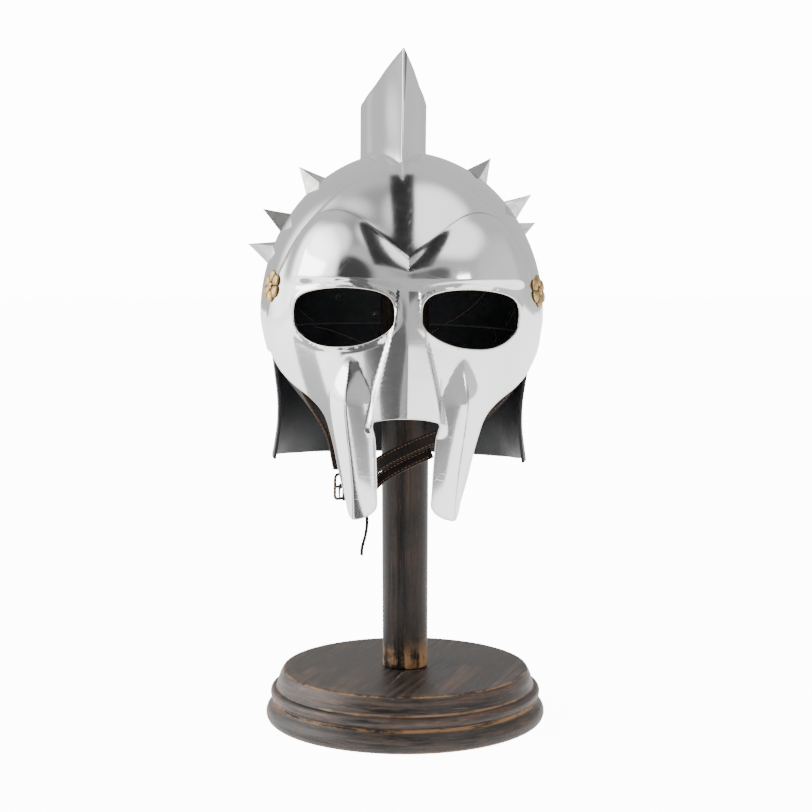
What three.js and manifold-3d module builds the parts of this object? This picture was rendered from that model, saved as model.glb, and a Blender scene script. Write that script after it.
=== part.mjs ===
// Gladiator helmet in polished sheet metal, on a turned wooden display stand.
// Millimetres, +Z up, the face looks along -Y, origin at the centre of the base's underside.

import * as THREE from 'three';
import * as BufferGeometryUtils from 'three/addons/utils/BufferGeometryUtils.js';
import Module from 'manifold-3d';

const wasm = await Module();
wasm.setup();

// Driving dimensions of the stand

const baseRadius = 112.5;
const baseHeight = 42;
const postRadius = 18;
const postTopRadius = 19.4;
const postCrownRise = 3;
const tenonRadius = 11;
const tenonLength = 24;
const baseSides = 36;
const postSides = 20;

// Driving dimensions of the helmet

const skullHalfWidth = 112;
const skullFront = 130;
const skullBack = 132;
const skullCentreY = 6;
const equatorHeight = 327;
const domeRise = 127.5;
const domeArc = 188.5;
const cheekNarrowing = 0.38;
const cheekSoftening = 30;
const sectionSquareness = 0.025;
const skullSheet = 1.6;
const skullSkirt = 30;
const helmetRollDegrees = 1.2;

const plateSheet = 1.6;
const plateStep = 3;
const plateStepWidth = 11;
const plateLap = 14;
const plateTop = 141;
const guardTip = -143;
const plateRearHalf = 120;
const cheekHalf = 130;
const cheekCorner = -22;

const browCentre = 43;
const browArch = 36;
const browSpan = 125;
const browHeight = 7.5;
const browFoot = 30;
const browSwell = 2.6;
const eyeTop = 23.5;
const eyeBottom = -18;
const eyeInner = 8;
const eyeOuter = 82;
const nasalTopHalf = 6.2;
const nasalLipHalf = 21;
const nasalRise = 6;
const lipLine = -68;
const guardKeelRise = 8;
const guardTopHalf = 15;
const guardTipHalf = 11;
const guardKeelTop = 37.5;
const guardKeelTip = 28.5;

const crestTipHeight = 531;
const crestShoulderHeight = 494;
const crestWidth = 53;
const crestSheet = 1.6;
const crestFrontLean = 6;
const crestShoulderRun = 84;
const crestLength = 158;
const crestRoofCrown = 3;
const crestFrontEdge = 1.6;
const crestTurnDegrees = 2.6;
const crestLeanDegrees = -0.8;
const crestShift = -3.6;

const spikeBase = 15.5;
const spikeHeight = 20.5;
const rosetteRadius = 12.5;
const rosetteThickness = 3.2;
const rosettePetals = 6;
const rosetteNotch = 0.16;
const rosetteKnob = 3.4;
const rosetteU = 114;
const rosetteM = 21;

const leather = 2.4;
const linerTop = 78;
const linerBottom = -17;
const linerStartDegrees = 80;
const neckStartDegrees = 74;
const neckTop = -18;
const neckCornerHeight = 213;
const neckBackHeight = 198;

const strapWidth = 11;
const strapThickness = 2;
const buckleWidth = 15;
const buckleLength = 21;
const buckleBar = 2.4;
const buckleAt = [-46.5, -84, 201];
const buckleTurn = 0.8;
const laceDiameter = 2.4;

const clearance = 0.3;
const insideGap = 0.9;

// Lengths of the skin's two coordinates: u runs round the head in millimetres from the middle
// of the face, m runs up from the widest ring, positive on the dome and negative below it.

const uPerRadian = 118;
const mPerRadian = domeArc / (Math.PI / 2);

// Colours, seen on the real thing

const steel = new THREE.MeshStandardMaterial({ color: 0xc9cbcd, roughness: 0.2, metalness: 1 });
const spikeSteel = new THREE.MeshStandardMaterial({ color: 0xb4b4b0, roughness: 0.28, metalness: 1 });
const brass = new THREE.MeshStandardMaterial({ color: 0xb08c4f, roughness: 0.45, metalness: 1 });
const blackLeather = new THREE.MeshStandardMaterial({ color: 0x1b1b1d, roughness: 0.55, metalness: 0 });
const strapLeather = new THREE.MeshStandardMaterial({ color: 0x241f1c, roughness: 0.6, metalness: 0 });
const darkBronze = new THREE.MeshStandardMaterial({ color: 0x4a3b30, roughness: 0.5, metalness: 1 });
const wood = new THREE.MeshStandardMaterial({ color: 0x33241d, roughness: 0.55, metalness: 0 });

// Small helpers

const radians = Math.PI / 180;

function mix(a, b, share) {
  return a + (b - a) * share;
}

function smooth(from, to, value) {
  const share = Math.min(1, Math.max(0, (value - from) / (to - from)));
  return share * share * (3 - 2 * share);
}

function spread(from, to, steps) {
  return Array.from({ length: steps + 1 }, (_, index) => mix(from, to, index / steps));
}

function lookUp(rows, key, value, field) {
  const last = rows.length - 1;
  const next = rows.findIndex((row) => row[key] >= value);
  if (next < 0) {
    return rows[last][field];
  }
  if (next === 0) {
    return rows[0][field];
  }
  const before = rows[next - 1];
  const after = rows[next];
  return mix(before[field], after[field], (value - before[key]) / (after[key] - before[key]));
}

function toGeometry(positions, triangles) {
  const geometry = new THREE.BufferGeometry();
  geometry.setAttribute('position', new THREE.Float32BufferAttribute(positions, 3));
  geometry.setIndex(triangles);
  return closed(geometry);
}

function closed(geometry) {
  const bare = geometry.clone();
  bare.deleteAttribute('normal');
  bare.deleteAttribute('uv');
  const merged = BufferGeometryUtils.mergeVertices(bare, 1e-3);
  const index = merged.getIndex().array;
  const kept = [];
  for (let t = 0; t < index.length; t += 3) {
    const [a, b, c] = [index[t], index[t + 1], index[t + 2]];
    if (a !== b && b !== c && a !== c) {
      kept.push(a, b, c);
    }
  }
  merged.setIndex(kept);
  return merged;
}

function toSolid(geometry) {
  const clean = closed(geometry);
  return new wasm.Manifold(new wasm.Mesh({
    numProp: 3,
    vertProperties: new Float32Array(clean.getAttribute('position').array),
    triVerts: new Uint32Array(clean.getIndex().array),
  }));
}

function fromSolid(solid) {
  const mesh = solid.getMesh();
  const geometry = new THREE.BufferGeometry();
  geometry.setAttribute('position', new THREE.BufferAttribute(mesh.vertProperties, 3));
  geometry.setIndex(new THREE.BufferAttribute(mesh.triVerts, 1));
  return geometry;
}

function named(name, geometry, material) {
  const mesh = new THREE.Mesh(geometry, material);
  mesh.name = name;
  return mesh;
}

// The skin of the head: a slightly squared oval that closes in a dome above the widest ring
// and narrows from the sides toward the cheek guards' tips below it.

function skinSection(theta, m) {
  const below = Math.max(0, -m);
  const latitude = Math.max(0, m) / mPerRadian;
  const shrink = Math.cos(latitude);
  const narrowing = cheekNarrowing * below * below / (below + cheekSoftening);
  const halfDepth = Math.cos(theta) > 0 ? skullFront : skullBack;
  const across = Math.sin(theta) / ((skullHalfWidth - narrowing) * shrink);
  const along = Math.cos(theta) / (halfDepth * shrink);
  const squared = 1 + sectionSquareness * (1 - Math.cos(4 * theta)) / 2;
  return squared / Math.hypot(across, along);
}

function skinPoint(u, m) {
  const theta = u / uPerRadian;
  const top = mPerRadian * Math.PI / 2 - 1e-4;
  const reach = skinSection(theta, Math.min(m, top));
  const height = m > 0 ? domeRise * Math.sin(m / mPerRadian) : m;
  return new THREE.Vector3(
    reach * Math.sin(theta),
    skullCentreY - reach * Math.cos(theta),
    equatorHeight + height,
  );
}

function skinNormal(u, m) {
  if (m > mPerRadian * Math.PI / 2 - 0.5) {
    return new THREE.Vector3(0, 0, 1);
  }
  const step = 0.05;
  const around = skinPoint(u + step, m).sub(skinPoint(u - step, m));
  const upward = skinPoint(u, m + step).sub(skinPoint(u, m - step));
  return around.cross(upward).normalize();
}

function skin(u, m, lift) {
  return skinPoint(u, m).addScaledVector(skinNormal(u, m), lift);
}

// A sheet between an outer and an inner face, both given on the same grid of rows and columns.
// A row whose ends meet is a whole ring there, and its two end walls are left out.

function sheet(outer, inner, { ring = false, capStart = true, capEnd = true } = {}) {
  const rows = outer.length;
  const columns = outer[0].length;
  const positions = [];
  const triangles = [];
  for (const face of [outer, inner]) {
    for (const row of face) {
      for (const point of row) {
        positions.push(point.x, point.y, point.z);
      }
    }
  }
  const at = (side, i, j) => side * rows * columns + i * columns + j;
  const quad = (a, b, c, d) => triangles.push(a, b, c, a, c, d);
  for (let i = 0; i < rows - 1; i += 1) {
    for (let j = 0; j < columns - 1; j += 1) {
      quad(at(0, i, j), at(0, i, j + 1), at(0, i + 1, j + 1), at(0, i + 1, j));
      quad(at(1, i, j), at(1, i + 1, j), at(1, i + 1, j + 1), at(1, i, j + 1));
    }
    const first = outer[i][0].distanceTo(outer[i][columns - 1]);
    const next = outer[i + 1][0].distanceTo(outer[i + 1][columns - 1]);
    if (!ring && Math.max(first, next) > 0.01) {
      quad(at(0, i, 0), at(0, i + 1, 0), at(1, i + 1, 0), at(1, i, 0));
      const end = columns - 1;
      quad(at(0, i, end), at(1, i, end), at(1, i + 1, end), at(0, i + 1, end));
    }
  }
  for (let j = 0; j < columns - 1; j += 1) {
    if (capStart) {
      quad(at(0, 0, j), at(1, 0, j), at(1, 0, j + 1), at(0, 0, j + 1));
    }
    if (capEnd) {
      const last = rows - 1;
      quad(at(0, last, j), at(0, last, j + 1), at(1, last, j + 1), at(1, last, j));
    }
  }
  return toGeometry(positions, triangles);
}

// A plug that cuts an outline, given in u and m, through the sheets of the head.

const plugReach = 26;

function skinPlug(outline, depth) {
  const flat = outline.map(([u, m]) => new THREE.Vector2(u, m));
  if (THREE.ShapeUtils.isClockWise(flat)) {
    flat.reverse();
  }
  const count = flat.length;
  const positions = [];
  for (const lift of [depth, -depth]) {
    for (const point of flat) {
      positions.push(...skin(point.x, point.y, lift).toArray());
    }
  }
  const triangles = [];
  for (const [a, b, c] of THREE.ShapeUtils.triangulateShape(flat, [])) {
    triangles.push(a, b, c, count + a, count + c, count + b);
  }
  for (let i = 0; i < count; i += 1) {
    const next = (i + 1) % count;
    triangles.push(i, count + i, count + next, i, count + next, next);
  }
  return toSolid(toGeometry(positions, triangles));
}

// The face plate's rear edge: how far round the head it reaches at each height, from the point
// under the crest down to the rosettes and the cheeks, then in a long curve to the guards' tips.

const guardHalfReach = guardKeelTop + guardTopHalf;
const guardTipReach = guardKeelTip + guardTipHalf;

const plateEdgeRows = [
  { m: guardTip, half: guardTipReach, steps: 2 },
  { m: guardTip * 0.81, half: guardTipReach + 5.5, steps: 2 },
  { m: guardTip * 0.615, half: guardHalfReach - 1.5, steps: 2 },
  { m: guardTip * 0.475, half: guardHalfReach + 5.5, steps: 2 },
  { m: guardTip * 0.4, half: guardHalfReach * 1.33, steps: 2 },
  { m: guardTip * 0.33, half: cheekHalf * 0.7, steps: 2 },
  { m: guardTip * 0.245, half: cheekHalf * 0.877, steps: 2 },
  { m: cheekCorner, half: cheekHalf, steps: 7 },
  { m: plateTop * 0.142, half: plateRearHalf, steps: 4 },
  { m: plateTop * 0.262, half: plateRearHalf * 0.93, steps: 4 },
  { m: plateTop * 0.411, half: plateRearHalf * 0.85, steps: 3 },
  { m: plateTop * 0.553, half: plateRearHalf * 0.745, steps: 2 },
  { m: plateTop * 0.681, half: plateRearHalf * 0.64, steps: 3 },
  { m: plateTop * 0.837, half: plateRearHalf * 0.43, steps: 1 },
  { m: plateTop * 0.922, half: plateRearHalf * 0.22, steps: 1 },
  { m: plateTop, half: 0, steps: 0 },
];

function plateEdge(m) {
  return lookUp(plateEdgeRows, 'm', m, 'half');
}

function browLine(u) {
  return browCentre + browArch * Math.sin(Math.PI * Math.min(Math.abs(u), browSpan) / browSpan);
}

function nasalHalf(m) {
  return mix(nasalTopHalf, nasalLipHalf, smooth(eyeTop, lipLine - 20, m) ** 0.8);
}

function keelLine(m) {
  return mix(guardKeelTop, guardKeelTip, smooth(-40, guardTip, m));
}

function guardHalf(m) {
  return mix(guardTopHalf, guardTipHalf, smooth(-60, guardTip, m));
}

// Raised work on the plate, in millimetres above its plain surface.

function browRelief(u, m) {
  const line = browLine(u);
  const sideFade = 1 - smooth(browSpan * 0.56, browSpan * 0.82, Math.abs(u));
  if (m >= line) {
    return 0;
  }
  const share = Math.min(1, (line - m) / (line - browFoot));
  const swell = 1 - (1 - share) ** browSwell;
  const tuck = 1 - 0.4 * smooth(browFoot, eyeTop - 2, m) - 0.6 * smooth(eyeTop - 4, eyeBottom, m);
  return browHeight * sideFade * swell * tuck;
}

function nasalRelief(u, m) {
  const half = nasalHalf(m);
  const keel = Math.max(0, 1 - Math.abs(u) / half);
  const start = smooth(eyeTop + 6, eyeBottom, m);
  const flank = 1 - smooth(half * 0.98, half * 1.25, Math.abs(u));
  const end = smooth(lipLine - 16, lipLine - 4, m);
  return nasalRise * start * end * (0.62 * keel + 0.38 * flank);
}

function guardRelief(u, m) {
  const grown = smooth(eyeBottom - 4, eyeBottom - 42, m);
  const half = guardHalf(m) * mix(0.35, 1, grown);
  const away = Math.abs(Math.abs(u) - keelLine(m)) / half;
  return guardKeelRise * grown * Math.max(0, 1 - away);
}

function plateLift(u, m) {
  const inset = plateEdge(m) - Math.abs(u);
  const upper = smooth(cheekCorner - 24, cheekCorner + 6, m);
  const step = mix(1, smooth(0, plateStepWidth, inset), upper);
  const relief = browRelief(u, m) + nasalRelief(u, m) + guardRelief(u, m);
  return clearance + plateStep * step + relief;
}

// Outlines of the openings in the plate

function eyeOutline(side, steps) {
  const middleU = (eyeInner + eyeOuter) / 2;
  const halfU = (eyeOuter - eyeInner) / 2;
  const middleM = (eyeTop + eyeBottom) / 2 + 1;
  const tilt = -3.5;
  return spread(0, 2 * Math.PI, steps).slice(0, steps).map((angle) => {
    const upper = Math.sin(angle) >= 0;
    const power = 2 / (upper ? 3.4 : 2.3);
    const along = Math.sign(Math.cos(angle)) * Math.abs(Math.cos(angle)) ** power;
    const rise = Math.sign(Math.sin(angle)) * Math.abs(Math.sin(angle)) ** power;
    const reach = upper ? eyeTop - middleM : (middleM - eyeBottom) * (1 - 0.28 * along * along);
    const m = middleM + rise * reach + tilt * smooth(-0.2, 1, along);
    return [side * (middleU + halfU * along), m];
  });
}

function mouthOutline() {
  const lipHalf = keelLine(lipLine) - guardHalf(lipLine);
  const arch = spread(-1, 1, 8).map((share) => [share * lipHalf, lipLine - 4 * share * share]);
  const rightSide = [-90, -110, -128].map((m) => [keelLine(m) - guardHalf(m), m]);
  const tips = [150, 120, 90, 60, 30].map((degrees) => tipPoint(degrees));
  const outward = [keelLine(guardTip) + guardTipHalf + 22, -118];
  const right = [...rightSide, ...tips, outward, [outward[0] + 4, guardTip - 14]];
  const left = right.map(([u, m]) => [-u, m]).reverse();
  return [...arch, ...right, ...left];
}

function tipPoint(degrees) {
  const half = guardTipHalf + 0.6;
  const centre = guardTip + guardTipHalf;
  return [
    guardKeelTip + half * Math.cos(degrees * radians),
    centre - guardTipHalf * Math.sin(degrees * radians),
  ];
}

// Skull: the bowl, open in front where the face plate takes over

function skullStart(m) {
  if (m >= plateTop - plateLap) {
    return 0;
  }
  return Math.max(0, Math.min(plateEdge(Math.max(m, cheekCorner)), cheekHalf) - plateLap);
}

function makeSkull() {
  const full = Math.PI * uPerRadian;
  const top = domeArc;
  const heights = [-skullSkirt, -15, 0, 20, 40, 58, 78, 96, 112, plateTop - plateLap, 142, 158, 174, top];
  const columns = 38;
  const face = (lift) => heights.map((m) => {
    const start = skullStart(m);
    return spread(start, 2 * full - start, columns).map((u) => skin(u, m, lift));
  });
  return sheet(face(0), face(-skullSheet), { capEnd: false });
}

// Face plate

function plateColumns(m) {
  const edge = plateEdge(m);
  const nasal = Math.min(nasalHalf(m), 0.16 * edge);
  const keel = Math.min(keelLine(m), 0.45 * edge + 14 * smooth(-40, -120, m));
  const last = edge - Math.min(plateStepWidth, 0.2 * edge);
  const half = [
    ...spread(0, nasal, 2).slice(0, 2),
    ...spread(nasal, keel, 4).slice(0, 4),
    ...spread(keel, last, 5),
    edge,
  ];
  return [...half.slice(1).reverse().map((u) => -u), ...half];
}

function makeFacePlate() {
  const heights = plateEdgeRows.flatMap((row, index) => {
    const next = plateEdgeRows[index + 1];
    return next ? spread(row.m, next.m, row.steps).slice(0, -1) : [row.m];
  });
  const face = (extra) => heights.map((m) => plateColumns(m)
    .map((u) => skin(u, m, plateLift(u, m) + extra)));
  const plain = toSolid(sheet(face(plateSheet), face(0), { capEnd: false }));
  return fromSolid(plain
    .subtract(skinPlug(eyeOutline(1, 36), plugReach))
    .subtract(skinPlug(eyeOutline(-1, 36), plugReach))
    .subtract(skinPlug(mouthOutline(), plugReach)));
}

// The outside of the crown, used to seat the crest and the spikes on it

function crownTop(clear) {
  const heights = [...spread(20, 130, 16), ...spread(134, 182, 10), domeArc];
  const full = Math.PI * uPerRadian;
  const lift = (u, m) => {
    const inside = plateEdge(m) - Math.abs(u) > -1.5;
    return clear + (inside ? plateLift(u, m) + plateSheet : 0);
  };
  const outer = heights.map((m) => spread(-full, full, 52).map((u) => skin(u, m, lift(u, m))));
  const floor = equatorHeight - 20;
  const inner = heights.map(() => outer[0].map(() => new THREE.Vector3(0, skullCentreY, floor)));
  return toSolid(sheet(outer, inner, { ring: true, capEnd: false }));
}

// Crest: two side sheets that meet in a sharp front edge, under a roof that falls to the rear

const crestRows = [
  { share: 0, width: 0.03 },
  { share: 0.1, width: 0.22 },
  { share: 0.22, width: 0.44 },
  { share: 0.36, width: 0.67 },
  { share: 0.48, width: 0.9 },
  { share: 0.56, width: 1 },
  { share: 0.66, width: 0.97 },
  { share: 0.78, width: 0.8 },
  { share: 0.88, width: 0.56 },
  { share: 0.95, width: 0.33 },
  { share: 1, width: 0.1 },
];

function crestTop(run) {
  const along = Math.min(run, crestShoulderRun) / crestShoulderRun;
  const front = mix(crestTipHeight, crestShoulderHeight, along ** 1.1);
  const past = Math.max(0, run - crestShoulderRun) / (crestLength - crestShoulderRun);
  const fall = crestShoulderHeight - equatorHeight - 70;
  return front - fall * past ** 1.7;
}

function crestShell(inset) {
  const front = skinPoint(0, plateTop).y;
  const floor = equatorHeight + 60;
  const rings = crestRows.map((row) => {
    const run = row.share * crestLength;
    const half = Math.max(crestFrontEdge / 2, row.width * crestWidth / 2) - inset;
    const roof = crestTop(run) - inset * 1.4;
    const tipShare = (height) => crestFrontLean * (1 - row.share) * smooth(floor + 60, crestTipHeight, height);
    const at = (x, z) => new THREE.Vector3(x, front + run - tipShare(z), z);
    return [
      at(-half, floor), at(-half, mix(floor, roof, 0.7)), at(-half, roof),
      at(0, roof + crestRoofCrown * row.width),
      at(half, roof), at(half, mix(floor, roof, 0.7)), at(half, floor),
    ];
  });
  return rings;
}

function crestSolid(inset) {
  const rings = crestShell(inset);
  const sides = rings[0].length;
  const kept = inset > 0 ? rings.slice(1, -1) : rings;
  const positions = kept.flat().flatMap((point) => point.toArray());
  const triangles = [];
  for (let i = 0; i < kept.length - 1; i += 1) {
    for (let j = 0; j < sides; j += 1) {
      const next = (j + 1) % sides;
      const [a, b] = [i * sides + j, i * sides + next];
      triangles.push(a, b + sides, a + sides, a, b, b + sides);
    }
  }
  const last = (kept.length - 1) * sides;
  for (let j = 1; j < sides - 1; j += 1) {
    triangles.push(0, j + 1, j, last, last + j, last + j + 1);
  }
  return toSolid(toGeometry(positions, triangles));
}

function setAskew(solid) {
  const foot = skinPoint(0, plateTop);
  const move = new THREE.Matrix4().makeTranslation(crestShift, foot.y, foot.z);
  move.multiply(new THREE.Matrix4().makeRotationZ(crestTurnDegrees * radians));
  move.multiply(new THREE.Matrix4().makeRotationY(crestLeanDegrees * radians));
  move.multiply(new THREE.Matrix4().makeTranslation(0, -foot.y, -foot.z));
  return toSolid(fromSolid(solid).applyMatrix4(move));
}

function makeCrest(crown) {
  const walls = crestSolid(0).subtract(crestSolid(crestSheet));
  return fromSolid(setAskew(walls).subtract(crown));
}

// Spikes: four-sided pyramids, set square or cornerwise, pointing straight out of the skull

const spikeRows = [
  { name: 'left_1', side: -1, around: 100, m: 107, spin: 20 },
  { name: 'left_2', side: -1, around: 87, m: 70, spin: 45 },
  { name: 'left_3', side: -1, around: 98, m: 44, spin: 30 },
  { name: 'left_4', side: -1, around: 138, m: 70, spin: 45 },
  { name: 'right_1', side: 1, around: 107, m: 121, spin: 10 },
  { name: 'right_2', side: 1, around: 84, m: 86, spin: 45 },
  { name: 'right_3', side: 1, around: 113, m: 63, spin: 35 },
  { name: 'right_4', side: 1, around: 140, m: 78, spin: 45 },
];

function standOn(u, m, lift, spinDegrees) {
  const up = skinNormal(u, m);
  const turn = new THREE.Quaternion().setFromUnitVectors(new THREE.Vector3(0, 0, 1), up);
  const spin = new THREE.Quaternion().setFromAxisAngle(up, spinDegrees * radians);
  const place = skin(u, m, lift);
  return new THREE.Matrix4().compose(place, spin.multiply(turn), new THREE.Vector3(1, 1, 1));
}

function makeSpike(row, crown) {
  const sunk = 2;
  const radius = spikeBase / Math.SQRT2 * (spikeHeight + sunk) / spikeHeight;
  const pyramid = new THREE.ConeGeometry(radius, spikeHeight + sunk, 4);
  pyramid.rotateX(Math.PI / 2);
  pyramid.translate(0, 0, (spikeHeight + sunk) / 2 - sunk);
  pyramid.applyMatrix4(standOn(row.side * row.around * radians * uPerRadian, row.m, 0, row.spin));
  return fromSolid(toSolid(pyramid).subtract(crown));
}

// Rosettes: a lobed disc with a round knob in its middle

function makeRosette(side) {
  const outline = new THREE.Shape(spread(0, 2 * Math.PI, 36).slice(0, 36).map((angle) => {
    const lobe = Math.abs(Math.sin(angle * rosettePetals / 2));
    const reach = rosetteRadius * (1 - rosetteNotch * (1 - lobe ** 0.7));
    return new THREE.Vector2(reach * Math.cos(angle), reach * Math.sin(angle));
  }));
  const disc = toSolid(new THREE.ExtrudeGeometry(outline, { depth: rosetteThickness, bevelEnabled: false }));
  const knob = new THREE.SphereGeometry(rosetteKnob, 12, 8);
  knob.translate(0, 0, rosetteThickness);
  const whole = fromSolid(disc.add(toSolid(knob)));
  const seat = plateLift(rosetteU - rosetteRadius, rosetteM) + plateSheet + clearance;
  return whole.applyMatrix4(standOn(side * rosetteU, rosetteM, seat, 0));
}

// Liner: a leather band against the inside of the skull, round the sides and the back

function makeLiner() {
  const start = linerStartDegrees * radians * uPerRadian;
  const end = 2 * Math.PI * uPerRadian - start;
  const outside = -(skullSheet + insideGap);
  const heights = spread(linerBottom, linerTop, 4);
  const face = (lift) => heights.map((m) => spread(start, end, 22).map((u) => skin(u, m, lift)));
  return sheet(face(outside), face(outside - leather));
}

// Neck guard: a leather curtain that hangs from inside the skull's rim and flares at the back

const neckRows = [
  { share: 0, side: 0, back: 0 },
  { share: 0.12, side: -1.5, back: -1 },
  { share: 0.3, side: -4, back: -2 },
  { share: 0.5, side: -6.5, back: -1 },
  { share: 0.7, side: -7, back: 3 },
  { share: 0.86, side: -5.5, back: 8 },
  { share: 1, side: -3.5, back: 14 },
];

function neckPoint(theta, share, depth) {
  const rimM = neckTop;
  const atTop = skinSection(theta, rimM) - skullSheet - insideGap - depth;
  const rear = Math.max(0, -Math.cos(theta));
  const away = mix(lookUp(neckRows, 'share', share, 'side'), lookUp(neckRows, 'share', share, 'back'), rear ** 1.5);
  const hem = mix(neckCornerHeight, neckBackHeight, rear);
  const top = equatorHeight + rimM;
  const reach = atTop + away - 2.4 * smooth(0, 0.16, share);
  return new THREE.Vector3(
    reach * Math.sin(theta),
    skullCentreY - reach * Math.cos(theta),
    mix(top, hem, share),
  );
}

function makeNeckGuard() {
  const start = neckStartDegrees * radians;
  const thetas = spread(start, 2 * Math.PI - start, 24);
  const face = (depth) => [...neckRows].reverse()
    .map((row) => thetas.map((theta) => neckPoint(theta, row.share, depth)));
  return sheet(face(0), face(leather));
}

// Straps: flat bands swept along a smooth line through their points

function band(points, facing, width, thickness, steps) {
  const line = new THREE.CatmullRomCurve3(points.map((point) => new THREE.Vector3(...point)));
  const looks = new THREE.CatmullRomCurve3(facing.map((way) => new THREE.Vector3(...way)));
  const positions = [];
  const triangles = [];
  for (let i = 0; i <= steps; i += 1) {
    const centre = line.getPointAt(i / steps);
    const along = line.getTangentAt(i / steps);
    const look = looks.getPoint(i / steps).normalize();
    const across = new THREE.Vector3().crossVectors(along, look).normalize();
    const out = new THREE.Vector3().crossVectors(across, along).normalize();
    for (const [w, t] of [[1, 1], [-1, 1], [-1, -1], [1, -1]]) {
      const corner = centre.clone()
        .addScaledVector(across, w * width / 2)
        .addScaledVector(out, t * thickness / 2);
      positions.push(...corner.toArray());
    }
  }
  for (let i = 0; i < steps; i += 1) {
    for (let j = 0; j < 4; j += 1) {
      const [a, b] = [i * 4 + j, i * 4 + (j + 1) % 4];
      triangles.push(a, b + 4, b, a, a + 4, b + 4);
    }
  }
  const last = steps * 4;
  triangles.push(0, 1, 2, 0, 2, 3, last, last + 2, last + 1, last, last + 3, last + 2);
  return toGeometry(positions, triangles);
}

const strapSeatU = 139;
const strapSeatM = -20;
const strapSeatLift = -(skullSheet + insideGap + strapThickness / 2);
const leftSeat = skin(-strapSeatU, strapSeatM, strapSeatLift).toArray();
const rightSeat = skin(strapSeatU, strapSeatM, strapSeatLift).toArray();
const leftOutward = skinNormal(-strapSeatU, strapSeatM).toArray();
const rightOutward = skinNormal(strapSeatU, strapSeatM).toArray();

function fromBuckle(x, y, z) {
  return [buckleAt[0] + x, buckleAt[1] + y, buckleAt[2] + z];
}

const leftStrapPoints = [leftSeat, [-90, -49, 286], [-77, -60, 268], [-58, -71, 240], fromBuckle(-2, -1, 13)];
const leftStrapFacing = [leftOutward, [-1, -0.3, 0], [-1, 0, 0], [-0.95, 0.2, 0], [-0.72, 0.7, 0]];
const rightStrapPoints = [
  fromBuckle(1.8, -1.7, 4), [-31, -76, 206], [-17, -54, 214], [8, -46, 226], [31, -52, 237],
  [58, -58, 253], [80, -54, 274], rightSeat,
];
const rightStrapFacing = [
  [0.72, -0.7, 0], [0.6, -0.8, 0], [0, -1, 0.2], [0, -1, 0.3], [0.1, -1, 0.2],
  [0.4, -1, 0.1], [0.8, -0.9, 0], rightOutward,
];
const strapEndPoints = [
  fromBuckle(1.8, -1.7, -6.6), [-27, -71, 195.5], [-14.5, -50, 203], [5, -42, 213], [24, -42, 222],
];
const strapEndFacing = [[0.72, -0.7, 0], [0.6, -0.8, 0], [-0.1, -1, 0.3], [0, -1, 0.5], [0.1, -1, 0.6]];

// Buckle: a flat frame with a middle bar, under the meeting ends of the straps

function makeBuckle() {
  const frame = new THREE.Shape();
  const [w, l] = [buckleWidth / 2, buckleLength / 2];
  frame.moveTo(-w, -l).lineTo(w, -l).lineTo(w, l).lineTo(-w, l).lineTo(-w, -l);
  for (const [low, high] of [[-l + buckleBar, -buckleBar / 2], [buckleBar / 2, l - buckleBar]]) {
    const hole = new THREE.Path();
    const side = w - buckleBar;
    hole.moveTo(-side, low).lineTo(-side, high).lineTo(side, high).lineTo(side, low).lineTo(-side, low);
    frame.holes.push(hole);
  }
  const body = new THREE.ExtrudeGeometry(frame, { depth: buckleBar, bevelEnabled: false });
  body.translate(0, 0, -buckleBar / 2);
  body.rotateX(Math.PI / 2);
  return body;
}

// Lace: hangs free from the strap's end, behind the left cheek guard

const lacePoints = [
  [-32.4, -71, 191.35], [-32.2, -71, 181], [-31.8, -70.5, 171], [-33.2, -70, 161], [-35.6, -69.5, 152],
  [-36, -69.5, 146],
];

function makeLace() {
  const route = new THREE.CatmullRomCurve3(lacePoints.map((point) => new THREE.Vector3(...point)));
  const section = new THREE.Shape(spread(0, 2 * Math.PI, 8).slice(0, 8).map((angle) => (
    new THREE.Vector2(Math.cos(angle), Math.sin(angle)).multiplyScalar(laceDiameter / 2)
  )));
  return new THREE.ExtrudeGeometry(section, { steps: 10, extrudePath: route, bevelEnabled: false });
}

// Stand: each row is how far in from the base's radius, and how high as a share of its height

const baseRows = [
  { inset: 4.5, height: 0 },
  { inset: 1, height: 0.06 },
  { inset: 0, height: 0.16 },
  { inset: 1.5, height: 0.27 },
  { inset: 6, height: 0.37 },
  { inset: 7, height: 0.43 },
  { inset: 4.6, height: 0.48 },
  { inset: 4, height: 0.56 },
  { inset: 5.2, height: 0.63 },
  { inset: 8.6, height: 0.66 },
  { inset: 9.6, height: 0.7 },
  { inset: 11.2, height: 0.86 },
  { inset: 13.6, height: 0.96 },
  { inset: 17, height: 1 },
];

function lathe(profile, sides) {
  const shape = profile.map(([radius, height]) => new THREE.Vector2(radius, height));
  const body = new THREE.LatheGeometry(shape, sides);
  body.rotateX(Math.PI / 2);
  return closed(body);
}

function makeBase() {
  const hole = tenonRadius + clearance;
  const floor = baseHeight - tenonLength - clearance;
  const profile = [[0, 0], ...baseRows.map((row) => [baseRadius - row.inset, row.height * baseHeight])];
  return lathe([...profile, [hole, baseHeight], [hole, floor], [0, floor]], baseSides);
}

function makePost() {
  const foot = baseHeight + clearance;
  const underCrown = equatorHeight + domeRise - skullSheet - insideGap;
  const rim = underCrown - postCrownRise;
  const crown = [0.75, 0.5, 0.25].map((share) => [
    postTopRadius * share,
    rim + postCrownRise * (1 - share * share),
  ]);
  const profile = [
    [0, baseHeight - tenonLength], [tenonRadius, baseHeight - tenonLength], [tenonRadius, foot],
    [postRadius, foot], [postTopRadius, rim], ...crown, [0, underCrown],
  ];
  return lathe(profile, postSides);
}

// Assembly

const crown = crownTop(clearance);

const helmet = new THREE.Group();
const pivotHeight = equatorHeight + domeRise - skullSheet;
helmet.position.set(0, 0, pivotHeight);
helmet.rotation.set(0, helmetRollDegrees * radians, 0);

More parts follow.
